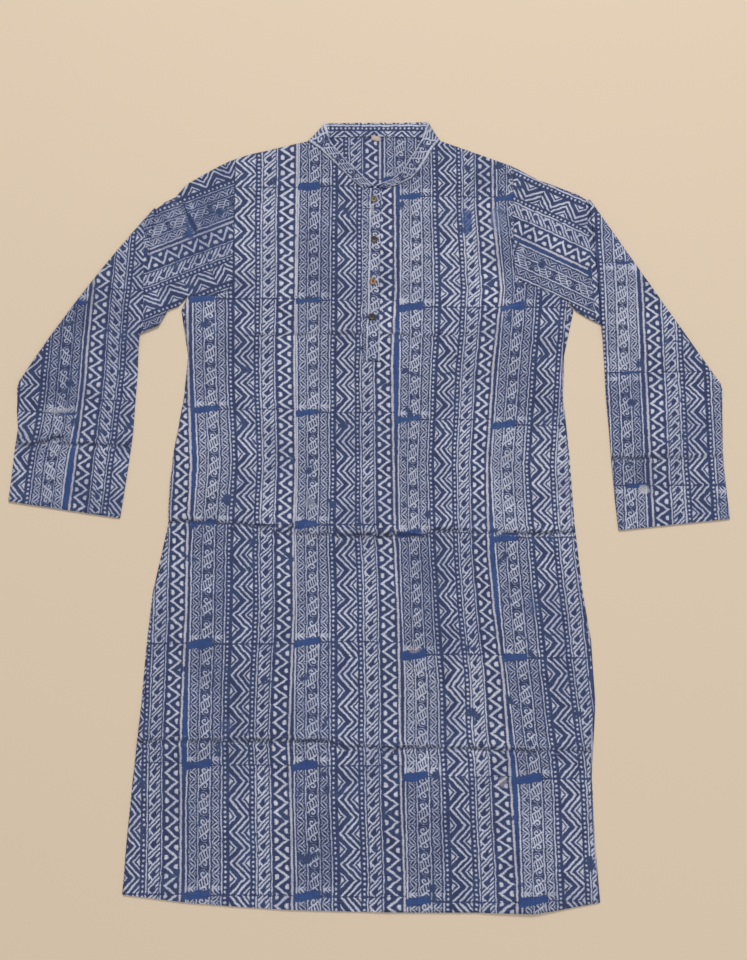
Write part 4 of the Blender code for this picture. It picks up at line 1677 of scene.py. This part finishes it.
buttonShape = turnButton()
threadShape = crossThread()
for number, ((x, y), turn, dark, pale) in enumerate(button["each"], 1):
    copies = []
    for model in (buttonShape, threadShape):
        copy = bpy.data.objects.new(model.name, model.data.copy())
        bpy.context.scene.collection.objects.link(copy)
        copy.location = (x * mm, y * mm, button["base"] * mm)
        copy.rotation_euler = (0, 0, math.radians(turn))
        copies.append(copy)
    settle(copies[0], "button" + str(number), "button", turnedWood("buttonWood" + str(number), dark, pale))
    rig.replaces(copies[0], "button_" + str(number))
    settle(copies[1], "buttonThread" + str(number), "cloth", finishes["buttonThread"])
for model in (buttonShape, threadShape):
    bpy.data.objects.remove(model, do_unlink=True)
print("stage: buttons turned and sewn on")


# The small satin tab in the back of the neck, with a folded end. Millimetres.
label = {
    "corners": ((3.5, 570.0), (16.5, 567.2), (16.0, 560.0), (3.8, 562.2)),
    "base": 1.7,
    "bulge": 0.4,
    "thick": 0.55,
    "foldBack": 0.42,
    "foldFrom": 15.3,
    "edge": 0.15,
}


def sewLabel():
    startFresh()
    bpy.ops.mesh.primitive_grid_add(x_subdivisions=8, y_subdivisions=8, size=1)
    shape = bpy.context.object
    leftTop, rightTop, rightFoot, leftFoot = [Vector(corner) for corner in label["corners"]]
    for vert in shape.data.vertices:
        across, rise = vert.co.x + 0.5, vert.co.y + 0.5
        place = leftFoot.lerp(rightFoot, across).lerp(leftTop.lerp(rightTop, across), rise)
        bulge = label["bulge"] * math.sin(math.pi * across) * math.sin(math.pi * rise)
        vert.co = Vector((place.x, place.y, label["base"] + bulge)) * mm
    bpy.ops.object.mode_set(mode="EDIT")
    pickFaces(shape, lambda face: face.calc_center_median().x > label["foldFrom"] * mm)
    bpy.ops.mesh.extrude_region_move(TRANSFORM_OT_translate={"value": (0, 0, label["foldBack"] * mm)})
    bpy.ops.object.mode_set(mode="OBJECT")
    wall = shape.modifiers.new("wall", "SOLIDIFY")
    wall.thickness = label["thick"] * mm
    wall.offset = 1.0
    bpy.ops.object.modifier_apply(modifier=wall.name)
    bevelEdges(shape, label["edge"], angle=30)
    settle(shape, "neckLabel", "label", finishes["label"])
    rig.replaces(shape, "neck_label")


sewLabel()
print("stage: neck label sewn in")


# Running stitches, in millimetres. Each row of them lies on the piece named for it.
stitch = {"length": 2.2, "width": 0.42, "height": 0.36, "step": 3.6, "sink": 0.04, "flattest": 0.6}
stitchRows = {
    "hemStitches": ("frontPanel", (
        ((-337, -551), (-252, -560), (-173, -567), (-122, -572), (-96, -571), (44, -574), (185, -574),
         (214, -578), (251, -574), (277, -568), (314, -561)),
        ((-311, -183), (-313, -210), (-315, -250), (-313, -268), (-316, -289), (-320, -311), (-322, -346),
         (-325, -371), (-328, -415), (-332, -475), (-334, -524), (-336, -549)),
        ((309, -170), (312, -210), (316, -270), (317, -309), (311, -329), (308, -375), (308, -425),
         (308, -475), (312, -533), (314, -559)),
        ((-204.5, 518), (-204, 424), (-203, 340)),
        ((219.5, 510), (219.5, 424), (218.5, 348)),
    )),
    "placketStitches": ("placketOver", (
        ((-7.2, 480), (-7.0, 400), (-7.0, 300), (-7.0, 211)),
        ((18.8, 480), (17.2, 450), (15.6, 400), (14.6, 350), (14.6, 300), (14.8, 250), (16.2, 211)),
        ((-7.0, 210), (16.2, 210)),
        ((-7.0, 219), (15.2, 219)),
    )),
    "collarStitches": ("collarBand", (
        ((-88, 563), (-73, 550), (-56, 533), (-40, 517), (-25, 501), (-9, 486.5)),
        ((105, 563), (96, 550), (87, 535), (76, 518), (64, 503.5), (44, 492.5), (24, 486)),
        ((-78, 570.5), (-30, 572), (12, 573), (55, 572), (92, 570.5)),
    )),
    "leftCuffStitches": ("sleeveLeft", (((-533, 8), (-368, -18)), ((-533, 12), (-368, -14)))),
    "rightCuffStitches": ("sleeveRight", (
        ((534, -19), (494, -29), (433, -36), (371, -36)),
        ((534, -15), (494, -25), (433, -32), (371, -32)),
    )),
}


def shapeStitch():
    startFresh()
    bpy.ops.mesh.primitive_uv_sphere_add(segments=6, ring_count=3, radius=0.5, rotation=(0, math.pi / 2, 0))
    shape = bpy.context.object
    bpy.ops.object.transform_apply(location=False, rotation=True, scale=True)
    bpy.ops.object.mode_set(mode="EDIT")
    bpy.ops.mesh.select_all(action="SELECT")
    bpy.ops.transform.resize(value=(stitch["length"] * mm, stitch["width"] * mm, stitch["height"] * mm))
    bpy.ops.object.mode_set(mode="OBJECT")
    return shape


def walkPath(path, step):
    # even places along a path, in metres, with the direction there
    carried = step / 2
    for (startX, startY), (endX, endY) in zip(path, path[1:]):
        start = Vector((startX, startY)) * mm
        run = Vector((endX, endY)) * mm - start
        length = run.length
        while carried < length:
            yield start + run * (carried / length), run / length
            carried += step
        carried -= length


def sewRows(name, on, paths, model):
    target = bpy.data.objects[on]
    surface = BVHTree.FromPolygons([vert.co for vert in target.data.vertices],
                                   [tuple(face.vertices) for face in target.data.polygons])
    above = max(vert.co.z for vert in target.data.vertices) + stitch["step"] * mm
    base = [vert.co.copy() for vert in model.data.vertices]
    rings = [tuple(face.vertices) for face in model.data.polygons]
    points, faces = [], []
    for path in paths:
        for place, aim in walkPath(path, stitch["step"] * mm):
            hit, normal, _, _ = surface.ray_cast(Vector((place.x, place.y, above)), -up)
            if hit is None or normal.z < stitch["flattest"]:
                continue
            along = Vector((aim.x, aim.y, 0.0))
            along = (along - normal * along.dot(normal)).normalized()
            turn = Matrix((along, normal.cross(along), normal)).transposed()
            start = len(points)
            points.extend(hit - normal * stitch["sink"] * mm + turn @ point for point in base)
            faces.extend(tuple(corner + start for corner in ring) for ring in rings)
    mesh = bpy.data.meshes.new(name)
    mesh.from_pydata(points, [], faces)
    mesh.shade_smooth()
    mesh.materials.append(finishes["thread"])
    sewn = bpy.data.objects.new(name, mesh)
    bpy.context.scene.collection.objects.link(sewn)
    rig.ride(sewn, "root")
    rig.slot(sewn, "cloth")
    print("stage:", name, len(faces), "faces")


stitchShape = shapeStitch()
for name, (on, paths) in stitchRows.items():
    sewRows(name, on, paths, stitchShape)
bpy.data.objects.remove(stitchShape, do_unlink=True)


studio = {
    "floorTone": (0.70, 0.575, 0.44, 1.0),
    "floorRoughness": 0.75,
    "floorSize": 8.0,
    "floorLevel": -0.4 * mm,
    "worldTone": (1.0, 0.98, 0.95, 1.0),
    "worldStrength": 0.42,
    # place, size in metres, power in watts and tone
    "lights": {
        "keyLight": ((0.5, 4.8, 4.4), 1.7, 262.0, (1.0, 0.97, 0.92)),
        "fillLight": ((1.6, -3.0, 5.0), 3.0, 75.0, (0.95, 0.97, 1.0)),
    },
}
camera = {
    "place": (0.007, -0.1456, 1.3473),
    "tilt": math.radians(7.26),
    "focal": 910.0,              # pixels, for a picture 960 high
    "frameHeight": 960.0,
    "filmSize": 36.0,
}

bpy.ops.mesh.primitive_plane_add(size=studio["floorSize"], location=(0, 0, studio["floorLevel"]))
floor = bpy.context.object
floor.name = "studioFloor"
floorMaterial, _, floorShader = newMaterial("paleFloor")
floorShader.inputs["Base Color"].default_value = studio["floorTone"]
floorShader.inputs["Roughness"].default_value = studio["floorRoughness"]
floor.data.materials.append(floorMaterial)
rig.stage(floor)

world = bpy.data.worlds.new("softSky")
bpy.context.scene.world = world
world.use_nodes = True
sky = world.node_tree.nodes["Background"]
sky.inputs["Color"].default_value = studio["worldTone"]
sky.inputs["Strength"].default_value = studio["worldStrength"]

for name, (place, size, power, tone) in studio["lights"].items():
    light = bpy.data.lights.new(name, "AREA")
    light.size = size
    light.energy = power
    light.color = tone
    holder = bpy.data.objects.new(name, light)
    holder.location = place
    holder.rotation_euler = (-Vector(place)).to_track_quat("-Z", "Y").to_euler()
    bpy.context.scene.collection.objects.link(holder)

eye = bpy.data.cameras.new("overheadCamera")
eye.sensor_width = camera["filmSize"]
eye.lens = camera["filmSize"] * camera["focal"] / camera["frameHeight"]
holder = bpy.data.objects.new("overheadCamera", eye)
holder.location = camera["place"]
holder.rotation_euler = (camera["tilt"], 0.0, 0.0)
bpy.context.scene.collection.objects.link(holder)
bpy.context.scene.camera = holder
bpy.context.scene.view_settings.view_transform = "Standard"
print("stage: floor, light and camera set")

for name, piece in clothPieces.items():
    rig.sheet(bpy.data.objects[name], flat=piece["flat"], held="laid", rests_on=piece["on"],
             area=piece.get("area"), with_pieces=[bpy.data.objects[extra] for extra in piece["with"]])

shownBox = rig.bounds()
with open("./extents.json", "w") as sizes:
    boxes = {"cad": [list(corner) for corner in cadBox], "shown": [list(corner) for corner in shownBox]}
    json.dump(boxes, sizes)
